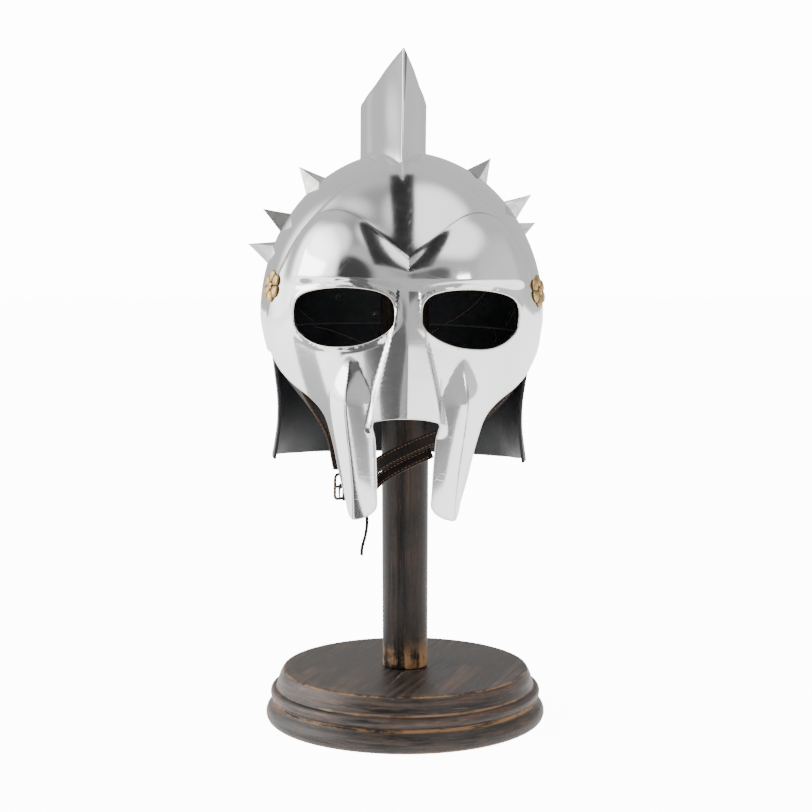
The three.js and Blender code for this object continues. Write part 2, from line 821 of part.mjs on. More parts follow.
const worn = new THREE.Group();
worn.position.set(0, 0, -pivotHeight);
helmet.add(worn);

worn.add(named('skull', makeSkull(), steel));
worn.add(named('face_plate', makeFacePlate(), steel));
worn.add(named('crest_fin', makeCrest(crown), steel));
for (const row of spikeRows) {
  worn.add(named(`spike_${row.name}`, makeSpike(row, crown), spikeSteel));
}
worn.add(named('rosette_left', makeRosette(-1), brass));
worn.add(named('rosette_right', makeRosette(1), brass));
worn.add(named('liner', makeLiner(), blackLeather));
worn.add(named('neck_guard', makeNeckGuard(), blackLeather));
worn.add(named(
  'chin_strap_left',
  band(leftStrapPoints, leftStrapFacing, strapWidth, strapThickness, 14),
  strapLeather,
));
worn.add(named(
  'chin_strap_right',
  band(rightStrapPoints, rightStrapFacing, strapWidth, strapThickness, 22),
  strapLeather,
));
worn.add(named(
  'chin_strap_end',
  band(strapEndPoints, strapEndFacing, strapWidth * 0.8, strapThickness, 12),
  strapLeather,
));
const buckle = named('chin_buckle', makeBuckle(), darkBronze);
buckle.position.set(...buckleAt);
buckle.rotation.set(0, 0, buckleTurn);
worn.add(buckle);

const part = new THREE.Group();
part.add(helmet);
part.add(named('chin_lace', makeLace(), strapLeather));
part.add(named('stand_post', makePost(), wood));
part.add(named('stand_base', makeBase(), wood));

export default part;
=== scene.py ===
# Gladiator helmet in polished sheet metal on a turned wooden stand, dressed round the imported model.
# Lengths are millimetres in the helmet's own frame until to_world() turns them into metres.

import math

import bpy
import numpy as np
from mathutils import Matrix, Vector
from mathutils.geometry import delaunay_2d_cdt


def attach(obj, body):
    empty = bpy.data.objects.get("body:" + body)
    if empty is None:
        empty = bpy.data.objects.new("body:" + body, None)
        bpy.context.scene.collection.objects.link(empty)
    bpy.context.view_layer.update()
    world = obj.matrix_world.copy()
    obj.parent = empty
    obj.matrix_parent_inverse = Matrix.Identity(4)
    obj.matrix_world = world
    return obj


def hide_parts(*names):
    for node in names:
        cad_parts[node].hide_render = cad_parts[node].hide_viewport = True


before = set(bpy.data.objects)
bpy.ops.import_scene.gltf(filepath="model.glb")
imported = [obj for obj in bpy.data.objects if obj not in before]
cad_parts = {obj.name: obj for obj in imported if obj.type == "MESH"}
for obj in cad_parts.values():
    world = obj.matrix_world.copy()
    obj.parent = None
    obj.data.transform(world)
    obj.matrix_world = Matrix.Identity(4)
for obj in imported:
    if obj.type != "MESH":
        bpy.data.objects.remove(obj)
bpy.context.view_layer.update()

METRES = 0.001


# Camera

def make_camera():
    data = bpy.data.cameras.new("camera")
    data.sensor_width = 36.0
    data.lens = 83.9
    data.clip_start = 0.05
    data.clip_end = 50.0
    camera = bpy.data.objects.new("camera", data)
    bpy.context.collection.objects.link(camera)
    eye = Vector((-0.0576, -1.4989, 0.423))
    aim = Vector((0.0008, 0.0, 0.2532))
    camera.location = eye
    camera.rotation_mode = "QUATERNION"
    camera.rotation_quaternion = (aim - eye).to_track_quat("-Z", "Y")
    bpy.context.scene.camera = camera


make_camera()


# Small helpers

def mix(a, b, share):
    return a + (b - a) * share


def smooth(low, high, value):
    share = np.clip((value - low) / (high - low), 0, 1)
    return share * share * (3 - 2 * share)


def soft_above(value, radius):
    """max(value, 0) with its corner rounded."""
    return 0.5 * (value + np.sqrt(value * value + 4 * radius * radius))


def soft_abs(value, radius):
    return np.sqrt(value * value + radius * radius) - radius


def unit(vectors):
    length = np.linalg.norm(vectors, axis=-1, keepdims=True)
    return vectors / np.maximum(length, 1e-12)


def joined(*values):
    """Coordinates side by side, as points."""
    return np.stack(values, axis=-1)


def sampled(places, along, values):
    """Points or directions at places along a line whose distances are given."""
    return joined(*(np.interp(places, along, column) for column in np.asarray(values).T))


def catmull(points, t):
    """A centripetal Catmull-Rom line through points, at shares t of its segments."""
    points = np.asarray(points, float)
    first = 2 * points[0] - points[1]
    last = 2 * points[-1] - points[-2]
    padded = np.vstack([first, points, last])
    count = len(points) - 1
    place = np.clip(np.asarray(t, float), 0, 1) * count
    index = np.minimum(place.astype(int), count - 1)
    w = (place - index)[:, None]
    p0, p1, p2, p3 = (padded[index + k] for k in range(4))
    d0, d1, d2 = (
        np.maximum(np.linalg.norm(b - a, axis=1, keepdims=True), 1e-6) ** 0.5
        for a, b in ((p0, p1), (p1, p2), (p2, p3))
    )
    t1 = ((p1 - p0) / d0 - (p2 - p0) / (d0 + d1) + (p2 - p1) / d1) * d1
    t2 = ((p2 - p1) / d1 - (p3 - p1) / (d1 + d2) + (p3 - p2) / d2) * d1
    c2 = -3 * p1 + 3 * p2 - 2 * t1 - t2
    c3 = 2 * p1 - 2 * p2 + t1 + t2
    return p1 + t1 * w + c2 * w**2 + c3 * w**3


def even_line(points, spacing=None, count=None, curved=True):
    """Points at even distances along a line through points."""
    points = np.asarray(points, float)
    dense = catmull(points, np.linspace(0, 1, 3001)) if curved else points
    gaps = np.linalg.norm(np.diff(dense, axis=0), axis=1)
    along = np.concatenate([[0], np.cumsum(gaps)])
    steps = count or max(2, int(round(along[-1] / spacing)))
    wanted = np.linspace(0, along[-1], steps + 1)
    return sampled(wanted, along, dense)


# The helmet sits on the post with a small roll to one side

ROLL = math.radians(1.2)
PIVOT = 452.9


def turned(vectors):
    c, s = math.cos(ROLL), math.sin(ROLL)
    x, y, z = vectors[..., 0], vectors[..., 1], vectors[..., 2]
    return joined(x * c + z * s, y, z * c - x * s)


def to_world(points):
    lowered = np.asarray(points, float) - (0, 0, PIVOT)
    return (turned(lowered) + (0, 0, PIVOT)) * METRES


# Making a piece from arrays

def weld(verts, faces, normals=None, attributes=None):
    keys = np.round(verts * 1e4).astype(np.int64)
    _, first, back = np.unique(keys, axis=0, return_index=True, return_inverse=True)
    back = back.reshape(-1)
    kept = []
    for face in faces:
        ring = []
        for index in back[list(face)]:
            if not ring or ring[-1] != index:
                ring.append(int(index))
        if len(ring) > 1 and ring[0] == ring[-1]:
            ring.pop()
        if len(ring) >= 3 and len(set(ring)) == len(ring):
            kept.append(ring)
    normals = None if normals is None else normals[first]
    attributes = {key: value[first] for key, value in (attributes or {}).items()}
    return verts[first], kept, normals, attributes


def add_piece(name, verts, faces, material, replaces=(), normals=None,
              attributes=None, helmet=True, sharp=40, welded=True):
    """One named mesh that rides on the part's only body."""
    verts = np.asarray(verts, float)
    attributes = attributes or {}
    if welded:
        verts, faces, normals, attributes = weld(verts, faces, normals, attributes)
    placed = to_world(verts) if helmet else verts * METRES
    mesh = bpy.data.meshes.new(name)
    mesh.from_pydata(placed.tolist(), [], [list(map(int, face)) for face in faces])
    mesh.update()
    mesh.shade_smooth()
    for key, values in attributes.items():
        layer = mesh.attributes.new(key, "FLOAT", "POINT")
        layer.data.foreach_set("value", np.asarray(values, np.float32))
    if normals is not None:
        ways = turned(normals) if helmet else normals
        mesh.normals_split_custom_set_from_vertices(unit(ways).tolist())
    elif sharp:
        mesh.set_sharp_from_angle(angle=math.radians(sharp))
    obj = bpy.data.objects.new(name, mesh)
    bpy.context.collection.objects.link(obj)
    mesh.materials.append(material)
    if replaces:
        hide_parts(*replaces)
    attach(obj, "root")
    return obj


def combined(parts):
    """Several (verts, faces) joined into one."""
    verts, faces, start = [], [], 0
    for part_verts, part_faces in parts:
        verts.append(np.asarray(part_verts, float))
        faces.extend([[index + start for index in face] for face in part_faces])
        start += len(part_verts)
    return np.vstack(verts), faces


def loft(rings, caps=True):
    """Quads between successive rings of points, outward when the rings turn anticlockwise
    seen from the far end."""
    rings = np.asarray(rings, float)
    count, sides = rings.shape[:2]
    faces = []
    for i in range(count - 1):
        for j in range(sides):
            k = (j + 1) % sides
            faces.append([i * sides + j, i * sides + k, (i + 1) * sides + k, (i + 1) * sides + j])
    if caps:
        faces.append(list(range(sides))[::-1])
        faces.append([(count - 1) * sides + j for j in range(sides)])
    return rings.reshape(-1, 3), faces


def tube(line, radii, sides=12, up=(0, 0, 1), rounded=True):
    """A round bar along a line, with rounded ends if wanted."""
    line = np.asarray(line, float)
    radii = np.broadcast_to(np.asarray(radii, float), (len(line),)).copy()
    along = unit(np.gradient(line, axis=0))
    across = unit(np.cross(along, np.broadcast_to(np.asarray(up, float), line.shape)))
    raised = np.cross(across, along)
    rings = []
    angles = np.linspace(0, 2 * math.pi, sides, endpoint=False)

    def ring(i, shift, scale):
        offsets = np.cos(angles)[:, None] * across[i] + np.sin(angles)[:, None] * raised[i]
        return line[i] + shift * along[i] + offsets * radii[i] * scale

    ends = [(0.97, 0.25), (0.75, 0.66), (0.4, 0.92)] if rounded else []
    for back, scale in ends:
        rings.append(ring(0, -back * radii[0], scale))
    for i in range(len(line)):
        rings.append(ring(i, 0, 1))
    for back, scale in reversed(ends):
        rings.append(ring(len(line) - 1, back * radii[-1], scale))
    return loft(np.array(rings)[:, ::-1])


# The skin of the head, in u round it and m up it, as the solids have it

U_PER_RADIAN = 118.0
HALF_WIDTH = 112
FRONT_DEPTH, BACK_DEPTH = 130.0, 132.0
SQUARENESS = 0.025
M_PER_RADIAN = 188.5 / (math.pi / 2)
EQUATOR = 327.0
DOME_RISE = 127.5
CENTRE_Y = 6.0
SHEET = 1.6
LEATHER = 2.4
CLEARANCE = 0.3
INSIDE_GAP = 0.9


def skin_section(theta, m):
    """Reach of the skin from its upright axis, narrower towards the neck."""
    below = np.maximum(0, -m)
    shrink = np.cos(np.maximum(0, m) / M_PER_RADIAN)
    narrowing = 0.38 * below * below / (below + 30)
    half_depth = np.where(np.cos(theta) > 0, FRONT_DEPTH, BACK_DEPTH)
    across = np.sin(theta) / ((HALF_WIDTH - narrowing) * shrink)
    along = np.cos(theta) / (half_depth * shrink)
    squared = 1 + SQUARENESS * (1 - np.cos(4 * theta)) / 2
    return squared / np.hypot(across, along)


def skin_point(u, m):
    theta = u / U_PER_RADIAN
    top = M_PER_RADIAN * math.pi / 2 - 1e-4
    reach = skin_section(theta, np.minimum(m, top))
    height = np.where(m > 0, DOME_RISE * np.sin(np.minimum(m, top) / M_PER_RADIAN), m)
    return joined(reach * np.sin(theta), CENTRE_Y - reach * np.cos(theta), EQUATOR + height)


def skin_normal(u, m):
    step = 0.05
    around = skin_point(u + step, m) - skin_point(u - step, m)
    upward = skin_point(u, m + step) - skin_point(u, m - step)
    normal = unit(np.cross(around, upward))
    pole = np.asarray(m) > M_PER_RADIAN * math.pi / 2 - 0.5
    return np.where(pole[..., None], np.array([0.0, 0.0, 1.0]), normal)


def lifted(u, m, lift):
    return skin_point(u, m) + skin_normal(u, m) * np.asarray(lift)[..., None]


def surface(u, m, lift_of, extra=0.0):
    """Points and outward normals of the skin raised by lift_of(u, m) + extra."""
    step = 0.12

    def at(du, dm):
        return lifted(u + du, m + dm, lift_of(u + du, m + dm) + extra)

    around = at(step, 0) - at(-step, 0)
    upward = at(0, step) - at(0, -step)
    normal = unit(np.cross(around, upward))
    pole = np.asarray(m) > M_PER_RADIAN * math.pi / 2 - 1
    normal = np.where(pole[..., None], np.array([0.0, 0.0, 1.0]), normal)
    return at(0, 0), normal


# The face plate's outline and raised work

PLATE_ROWS = [
    (39.5, -143), (45, -115.8), (51, -87.9), (58, -67.9), (69.8, -57.2), (91, -47.2), (114, -35), (130, -22),
    (120, 20), (111.6, 37), (102, 58), (89.4, 78), (76.8, 96), (51.6, 118), (26.4, 130), (0, 141),
]
plate_curve = catmull(PLATE_ROWS, np.linspace(0, 1, 4001))
GUARD_TIP = -143.0
GUARD_KEEL_TOP, GUARD_KEEL_TIP = 37.5, 28.5
GUARD_TOP_HALF, GUARD_TIP_HALF = 15.0, 11.0
PLATE_STEP, PLATE_STEP_WIDTH = 3.0, 11
BROW_RISE, NASAL_RISE, GUARD_RISE = 7.5, 6.0, 8.0
BROW_LOW, BROW_SWING, BROW_SPAN = 43, 36, 125
LIP_LINE = -68.0
EYE_TOP, EYE_BOTTOM, EYE_INNER, EYE_OUTER = 23.5, -18.0, 8.0, 82.0


def plate_edge(m):
    return np.interp(m, plate_curve[:, 1], plate_curve[:, 0])


def brow_line(u):
    return BROW_LOW + BROW_SWING * np.sin(math.pi * np.minimum(np.abs(u), BROW_SPAN) / BROW_SPAN)


def nasal_half(m):
    return mix(6.2, 21.0, smooth(EYE_TOP, LIP_LINE - 20, m) ** 0.8)


def keel_line(m):
    return mix(GUARD_KEEL_TOP, GUARD_KEEL_TIP, smooth(-40, GUARD_TIP, m))


def guard_half(m):
    return mix(GUARD_TOP_HALF, GUARD_TIP_HALF, smooth(-60, GUARD_TIP, m))


def brow_relief(u, m):
    line = brow_line(u)
    side_fade = 1 - smooth(70, 102.5, np.abs(u))
    side_fade = side_fade * mix(0.36, 1.0, smooth(2, 48, np.abs(u)))
    share = np.minimum(1, soft_above((line - m) / (line - 30), 0.05))
    swell = 1 - (1 - share) ** 2.6
    tuck = 1 - 0.4 * smooth(30, EYE_TOP - 2, m) - 0.6 * smooth(EYE_TOP - 4, EYE_BOTTOM, m)
    return BROW_RISE * side_fade * swell * tuck


def nasal_relief(u, m):
    half = nasal_half(m)
    keel = soft_above(1 - soft_abs(u, 0.7) / half, 0.04)
    start = smooth(EYE_TOP + 6, EYE_BOTTOM, m)
    flank = 1 - smooth(half * 0.98, half * 1.25, np.abs(u))
    end = smooth(LIP_LINE - 16, LIP_LINE - 4, m)
    return NASAL_RISE * start * end * (0.4 * keel + 0.6 * flank)


def guard_relief(u, m):
    grown = smooth(EYE_BOTTOM - 4, EYE_BOTTOM - 42, m)
    half = guard_half(m) * mix(0.35, 1, grown)
    away = soft_abs(np.abs(u) - keel_line(m), 0.35) / half
    return GUARD_RISE * grown * soft_above(1 - away, 0.018)


def eye_outline(side, steps):
    middle_u, half_u = (EYE_INNER + EYE_OUTER) / 2, (EYE_OUTER - EYE_INNER) / 2
    middle_m = (EYE_TOP + EYE_BOTTOM) / 2 + 1
    angle = np.linspace(0, 2 * math.pi, steps, endpoint=False)
    upper = np.sin(angle) >= 0
    power = np.where(upper, 2 / 3.4, 2 / 2.3)
    along = np.sign(np.cos(angle)) * np.abs(np.cos(angle)) ** power
    rise = np.sign(np.sin(angle)) * np.abs(np.sin(angle)) ** power
    reach = np.where(upper, EYE_TOP - middle_m, (middle_m - EYE_BOTTOM) * (1 - 0.28 * along * along))
    m = middle_m + rise * reach - 3.5 * smooth(-0.2, 1, along)
    return joined(side * (middle_u + half_u * along), m)


def plate_lift(u, m):
    inset = plate_edge(m) - np.abs(u)
    upper = smooth(-46, -16, m)
    step = mix(1, smooth(0, PLATE_STEP_WIDTH, inset), upper)
    return CLEARANCE + PLATE_STEP * step + brow_relief(u, m) + nasal_relief(u, m) + guard_relief(u, m)


# Sheets cut to an outline in u and m

def closed_even(points, spacing):
    points = np.asarray(points, float)
    return even_line(np.vstack([points, points[:1]]), spacing, curved=False)[:-1]


def signed_area(loop):
    x, y = loop.T
    return 0.5 * np.sum(x * np.roll(y, -1) - np.roll(x, -1) * y)


def inside(points, loops):
    """True for the points inside the first loop and outside the others."""
    odd = np.zeros(len(points), bool)
    for loop in loops:
        for (x0, y0), (x1, y1) in zip(loop, np.roll(loop, -1, axis=0)):
            if y0 == y1:
                continue
            crosses = (points[:, 1] >= min(y0, y1)) & (points[:, 1] < max(y0, y1))
            at_x = x0 + (points[:, 1] - y0) * (x1 - x0) / (y1 - y0)
            odd ^= crosses & (points[:, 0] < at_x)
    return odd


def nearest(points, marks):
    """Distance from each point to the nearest mark."""
    best = np.full(len(points), np.inf)
    for start in range(0, len(points), 4000):
        block = points[start:start + 4000]
        gaps = ((block[:, None, :] - marks[None, :, :]) ** 2).sum(axis=2)
        best[start:start + 4000] = np.sqrt(gaps.min(axis=1))
    return best


def fill_outline(loops, creases, spacing):
    """Triangles over the region, with its loops and creases as edges."""
    loops = [loop if (signed_area(loop) > 0) == (k == 0) else loop[::-1] for k, loop in enumerate(loops)]
    fixed = np.vstack(loops + creases) if creases else np.vstack(loops)
    low, high = loops[0].min(axis=0), loops[0].max(axis=0)
    rows = np.arange(low[1], high[1], spacing * 0.866)
    lattice = []
    for i, row in enumerate(rows):
        places = np.arange(low[0] + (i % 2) * spacing / 2, high[0], spacing)
        lattice.append(joined(places, np.full(len(places), row)))
    lattice = np.vstack(lattice)
    lattice = lattice[inside(lattice, loops)]
    lattice = lattice[nearest(lattice, fixed) > 0.6 * spacing]
    points = np.vstack([fixed, lattice])
    edges, start = [], 0
    rings = []
    for loop in loops:
        ring = list(range(start, start + len(loop)))
        edges += list(zip(ring, ring[1:] + ring[:1]))
        rings.append(ring)
        start += len(loop)
    for crease in creases:
        ring = list(range(start, start + len(crease)))
        edges += list(zip(ring, ring[1:]))
        start += len(crease)
    out_points, _, triangles, origins, _, _ = delaunay_2d_cdt(
        [Vector(point) for point in points.tolist()], edges, [], 0, 1e-7)
    out = np.array([tuple(point) for point in out_points])
    triangles = np.array(triangles)
    centres = out[triangles].mean(axis=1)
    triangles = triangles[inside(centres, loops)]
    a, b, c = (out[triangles[:, k]] for k in range(3))
    turn = (b[:, 0] - a[:, 0]) * (c[:, 1] - a[:, 1]) - (b[:, 1] - a[:, 1]) * (c[:, 0] - a[:, 0])
    triangles[turn < 0] = triangles[turn < 0][:, ::-1]
    where = {}
    for index, sources in enumerate(origins):
        for source in sources:
            where[source] = index
    rings = [np.array([where[index] for index in ring]) for ring in rings]
    return out, triangles, rings


def rim(outer, inner, ring, start, steps=5):
    """A half-round edge joining the outer and the inner face along one loop of indices.
    Gives its vertices, normals and faces; the faces' own new vertices begin at start."""
    top, bottom = outer[ring], inner[ring]
    half = (top - bottom) / 2
    centre = (top + bottom) / 2
    along = np.roll(top, -1, axis=0) - np.roll(top, 1, axis=0)
    out = unit(np.cross(along, half))
    size = np.linalg.norm(half, axis=1, keepdims=True)
    count = len(ring)
    verts, normals = [], []
    for angle in np.linspace(0, math.pi, steps + 1)[1:-1]:
        normal = unit(half) * math.cos(angle) + out * math.sin(angle)
        verts.append(centre + normal * size)
        normals.append(normal)
    levels = [np.asarray(ring)]
    levels += [start + k * count + np.arange(count) for k in range(steps - 1)]
    levels.append(np.asarray(ring) + len(outer))
    faces = []
    for upper, lower in zip(levels, levels[1:]):
        for j in range(count):
            k = (j + 1) % count
            faces.append([int(upper[j]), int(lower[j]), int(lower[k]), int(upper[k])])
    return np.vstack(verts), np.vstack(normals), faces


def shell(outer, outer_normals, inner, inner_normals, faces, rings, edge):
    """Two faces of a sheet with half-round rims; edge is how near each point is to a rim."""
    count = len(outer)
    verts, normals = [outer, inner], [outer_normals, -inner_normals]
    all_faces = [list(face) for face in faces]
    all_faces += [[index + count for index in reversed(list(face))] for face in faces]
    edges = [edge, edge]
    start = 2 * count
    for ring in rings:
        rim_verts, rim_normals, rim_faces = rim(outer, inner, ring, start)
        verts.append(rim_verts)
        normals.append(rim_normals)
        all_faces += rim_faces
        edges.append(np.ones(len(rim_verts)))
        start += len(rim_verts)
    return np.vstack(verts), all_faces, np.vstack(normals), {"edge": np.concatenate(edges)}


def outlined_shell(loops, creases, spacing, lift_of, thickness):
    points, triangles, rings = fill_outline(loops, creases, spacing)
    u, m = points.T
    outer, outer_normals = surface(u, m, lift_of, thickness)
    inner, inner_normals = surface(u, m, lift_of, 0.0)
    edge = np.exp(-nearest(points, np.vstack(loops)) / 2.2)
    return *shell(outer, outer_normals, inner, inner_normals, triangles.tolist(), rings, edge), points


def grid_faces(rows, columns):
    return [
        [i * columns + j, i * columns + j + 1, (i + 1) * columns + j + 1, (i + 1) * columns + j]
        for i in range(rows - 1) for j in range(columns - 1)
    ]


def grid_ring(rows, columns):
    """The border of a grid, anticlockwise with columns to the right and rows up."""
    bottom = list(range(columns))
    right = [i * columns + columns - 1 for i in range(1, rows)]
    top = [(rows - 1) * columns + j for j in range(columns - 2, -1, -1)]
    left = [i * columns for i in range(rows - 2, 0, -1)]
    return np.array(bottom + right + top + left)


def grid_normals(points):
    """Normals of a grid of points whose columns run to the right and rows run up."""
    along_columns = np.gradient(points, axis=1)
    along_rows = np.gradient(points, axis=0)
    return unit(np.cross(along_columns, along_rows))


# Materials

class Nodes:
    """A node tree, with short calls for what both the materials and the studio need."""

    def __init__(self, tree):
        self.tree = tree

    def node(self, kind, **settings):
        made = self.tree.nodes.new(kind)
        for key, value in settings.items():
            setattr(made, key, value)
        return made

    def put(self, socket, value):
        if hasattr(value, "is_output"):
            self.tree.links.new(value, socket)
        else:
            socket.default_value = value

    def span(self, value, low, high, to_low=0.0, to_high=1.0, kind="LINEAR"):
        made = self.node("ShaderNodeMapRange", interpolation_type=kind)
        self.put(made.inputs["Value"], value)
        for key, number in (("From Min", low), ("From Max", high), ("To Min", to_low), ("To Max", to_high)):
            self.put(made.inputs[key], number)
        return made.outputs["Result"]

    def maths(self, operation, a, b):
        made = self.node("ShaderNodeMath", operation=operation)
        self.put(made.inputs[0], a)
        self.put(made.inputs[1], b)
        return made.outputs[0]

    def times(self, a, b):
        return self.maths("MULTIPLY", a, b)


class Finish(Nodes):
    """A node material on the principled shader."""

    def __init__(self, name, **settings):
        self.material = bpy.data.materials.new(name)
        self.material.use_nodes = True
        super().__init__(self.material.node_tree)
        self.shader = self.tree.nodes["Principled BSDF"]
        for key, value in settings.items():
            self.shader.inputs[key].default_value = value
        self.coordinates = self.node("ShaderNodeTexCoord").outputs["Object"]

    def mapped(self, scale, rotation=(0, 0, 0)):
        made = self.node("ShaderNodeMapping", vector_type="TEXTURE")
        self.put(made.inputs["Vector"], self.coordinates)
        made.inputs["Scale"].default_value = [1 / value for value in scale]
        made.inputs["Rotation"].default_value = rotation
        return made.outputs["Vector"]

    def noise(self, scale, detail=3.0, rough=0.5, vector=None, twist=0.0):
        made = self.node("ShaderNodeTexNoise")
        self.put(made.inputs["Vector"], vector or self.coordinates)
        made.inputs["Scale"].default_value = scale
        made.inputs["Detail"].default_value = detail
        made.inputs["Roughness"].default_value = rough
        made.inputs["Distortion"].default_value = twist
        return made.outputs["Fac"]

    def pores(self, scale):
        made = self.node("ShaderNodeTexVoronoi", feature="DISTANCE_TO_EDGE")
        self.put(made.inputs["Vector"], self.coordinates)
        made.inputs["Scale"].default_value = scale
        return made.outputs["Distance"]

    def blend(self, share, a, b):
        made = self.node("ShaderNodeMix", data_type="RGBA")
        self.put(made.inputs[0], share)
        self.put(made.inputs[6], a if hasattr(a, "is_output") else (*a, 1))
        self.put(made.inputs[7], b if hasattr(b, "is_output") else (*b, 1))
        return made.outputs[2]

    def stored(self, name):
        return self.node("ShaderNodeAttribute", attribute_name=name).outputs["Fac"]

    def bump(self, height, strength, distance, under=None):
        made = self.node("ShaderNodeBump")
        self.put(made.inputs["Height"], height)
        made.inputs["Strength"].default_value = strength
        made.inputs["Distance"].default_value = distance
        if under is not None:
            self.put(made.inputs["Normal"], under)
        return made.outputs["Normal"]

    def colour(self, value):
        self.put(self.shader.inputs["Base Color"], value)

    def rough(self, value):
        self.put(self.shader.inputs["Roughness"], value)

    def normal(self, value):
        self.put(self.shader.inputs["Normal"], value)


def steel_finish(name, light, dark, low_rough, high_rough, wave):
    """Polished sheet steel: smudges, fine scratches, hand-beaten waves, and painted shade that darkens its
    creases.
    """
    finish = Finish(name, Metallic=1.0)
    smudge = finish.noise(14, 4, 0.55, twist=0.4)
    fine = finish.noise(1, 4, 0.6, finish.mapped((60, 60, 1400), (0.5, 0.2, 0.0)))
    fine_two = finish.noise(1, 4, 0.6, finish.mapped((1300, 70, 70), (0.0, 0.7, 0.4)))
    lines = finish.maths("MAXIMUM", finish.span(fine, 0.62, 0.8), finish.span(fine_two, 0.64, 0.82))
    tint = finish.blend(finish.span(smudge, 0.35, 0.75), light, dark)
    edge = finish.span(finish.stored("edge"), 0.6, 1.0, 0.0, 0.6)
    tint = finish.blend(edge, tint, (0.62, 0.54, 0.44))
    # Painted shade: the colour is darkened along the creases of the raised work, broken into patches by
    # noise, where the folds fall into shade.
    crease_shade = finish.span(finish.stored("crease"), 0.67, 0.88)
    worn = finish.span(finish.noise(55, 3, 0.6), 0.3, 0.6, 0.25, 0.85)
    crease_shade = finish.times(crease_shade, worn)
    finish.colour(finish.blend(crease_shade, tint, (0.16, 0.155, 0.15)))
    rough = finish.span(smudge, 0.3, 0.75, low_rough, high_rough)
    rough = finish.maths("ADD", rough, finish.times(crease_shade, 0.2))
    finish.rough(finish.maths("ADD", rough, finish.times(lines, 0.1)))
    slow = finish.noise(9, 1, 0.4)
    under = finish.bump(slow, 0.35, wave)
    finish.normal(finish.bump(lines, 0.08, 0.0002, under))
    return finish.material


def spotted_finish(name, metal, spots, ends, light, dark, rough, relief=None, low=None):
    """Spots between two colours, with a fine relief (spots, strength, depth) and darker grooves."""
    finish = Finish(name, Metallic=metal)
    pattern = finish.noise(*spots)
    colour = finish.blend(finish.span(pattern, *ends), light, dark)
    if low is not None:
        colour = finish.blend(finish.stored("low"), colour, low)
    finish.colour(colour)
    finish.rough(finish.span(pattern, *rough))
    if relief is not None:
        fine, strength, depth = relief
        finish.normal(finish.bump(finish.noise(*fine), strength, depth))
    return finish.material


# Dark steel for the sheet that stands as a painted shadow in the crest's open seam.
def seam_shadow_finish():
    finish = Finish("seam_shadow", Metallic=1.0)
    finish.colour(finish.blend(finish.noise(400, 3, 0.6), (0.05, 0.047, 0.043), (0.16, 0.15, 0.14)))
    finish.rough(finish.span(finish.noise(300, 3, 0.6), 0.3, 0.7, 0.35, 0.55))
    return finish.material


def leather_finish(name, light, dark, low_rough, high_rough, grain, worn):
    """Smooth finished leather: small grain, soft creases, scuffs and a worn raw edge."""
    finish = Finish(name)
    finish.shader.inputs["Specular IOR Level"].default_value = 0.14
    cloud = finish.noise(24, 4, 0.6)
    pores = finish.pores(grain)
    crease = finish.noise(1, 3, 0.6, finish.mapped((220, 220, 70), (0.3, 0.1, 0.0)))
    scuffs = finish.span(finish.noise(1, 5, 0.65, finish.mapped((500, 90, 60), (0.2, 0.8, 0.5))), 0.62, 0.78)
    tone = finish.blend(finish.span(cloud, 0.3, 0.7), dark, light)
    tone = finish.blend(finish.times(scuffs, 0.35), tone, worn)
    edge = finish.span(finish.stored("edge"), 0.75, 1.0, 0.0, 0.6)
    finish.colour(finish.blend(edge, tone, worn))
    finish.rough(finish.span(cloud, 0.3, 0.72, low_rough, high_rough))
    under = finish.bump(finish.span(pores, 0.0, 0.18), 0.25, 0.00025)
    finish.normal(finish.bump(crease, 0.2, 0.0004, under))
    return finish.material


def wood_finish(name, scale, rotation, patch_scale, sheen, tone, turned=None, top=0.0):
    """Dark stained wood: long grain, rubbed reddish streaks, and bare wood where it has worn.

    Below the height top, the streaks follow the turning instead.
    """
    finish = Finish(name)
    finish.shader.inputs["Specular IOR Level"].default_value = sheen

    def along(share):
        return finish.mapped(tuple(value * share for value in scale), rotation)

    def toned(*colour):
        return tuple(value * tone for value in colour)

    def grained(share, detail, rough, twist=0.0):
        flat = finish.noise(1, detail, rough, along(share), twist)
        if turned is None:
            return flat
        rings = finish.noise(1, detail, rough, finish.mapped(tuple(value * share for value in turned)), twist)
        height = finish.node("ShaderNodeSeparateXYZ")
        finish.put(height.inputs[0], finish.coordinates)
        upper = finish.span(height.outputs["Z"], top - 0.001, top)
        flat = finish.times(flat, upper)
        rings = finish.times(rings, finish.maths("SUBTRACT", 1.0, upper))
        return finish.maths("ADD", flat, rings)

    grain = grained(1, 7, 0.7, 0.35)
    long = grained(0.22, 4, 0.6, 0.5)
    fine = grained(2.4, 3, 0.6)
    cloud = finish.noise(patch_scale, 4, 0.6)
    dark, light = toned(0.004, 0.0033, 0.0032), toned(0.052, 0.036, 0.028)
    stain = finish.blend(finish.span(grain, 0.4, 0.6), dark, light)
    dusk = finish.span(finish.noise(patch_scale * 0.5, 3, 0.55), 0.36, 0.64, 0.0, 0.6)
    stain = finish.blend(dusk, stain, toned(0.008, 0.0068, 0.0065))
    streaks = finish.times(finish.span(long, 0.48, 0.64), finish.span(cloud, 0.42, 0.6))
    stain = finish.blend(finish.times(streaks, 0.65), stain, toned(0.105, 0.055, 0.034))
    pale = finish.times(finish.span(fine, 0.56, 0.7), finish.span(cloud, 0.4, 0.62))
    stain = finish.blend(finish.times(pale, 0.45), stain, toned(0.17, 0.1, 0.066))
    broken = grained(0.3, 5, 0.72)
    patches = finish.noise(patch_scale * 1.4, 4, 0.6)
    broken = finish.span(finish.maths("ADD", broken, patches), 0.94, 1.1)
    rubbed = finish.times(finish.stored("wear"), broken)
    finish.colour(finish.blend(rubbed, stain, (0.42, 0.235, 0.105)))
    finish.rough(finish.span(grain, 0.3, 0.7, 0.34, 0.54))
    finish.normal(finish.bump(grain, 0.3, 0.0005))
    return finish.material


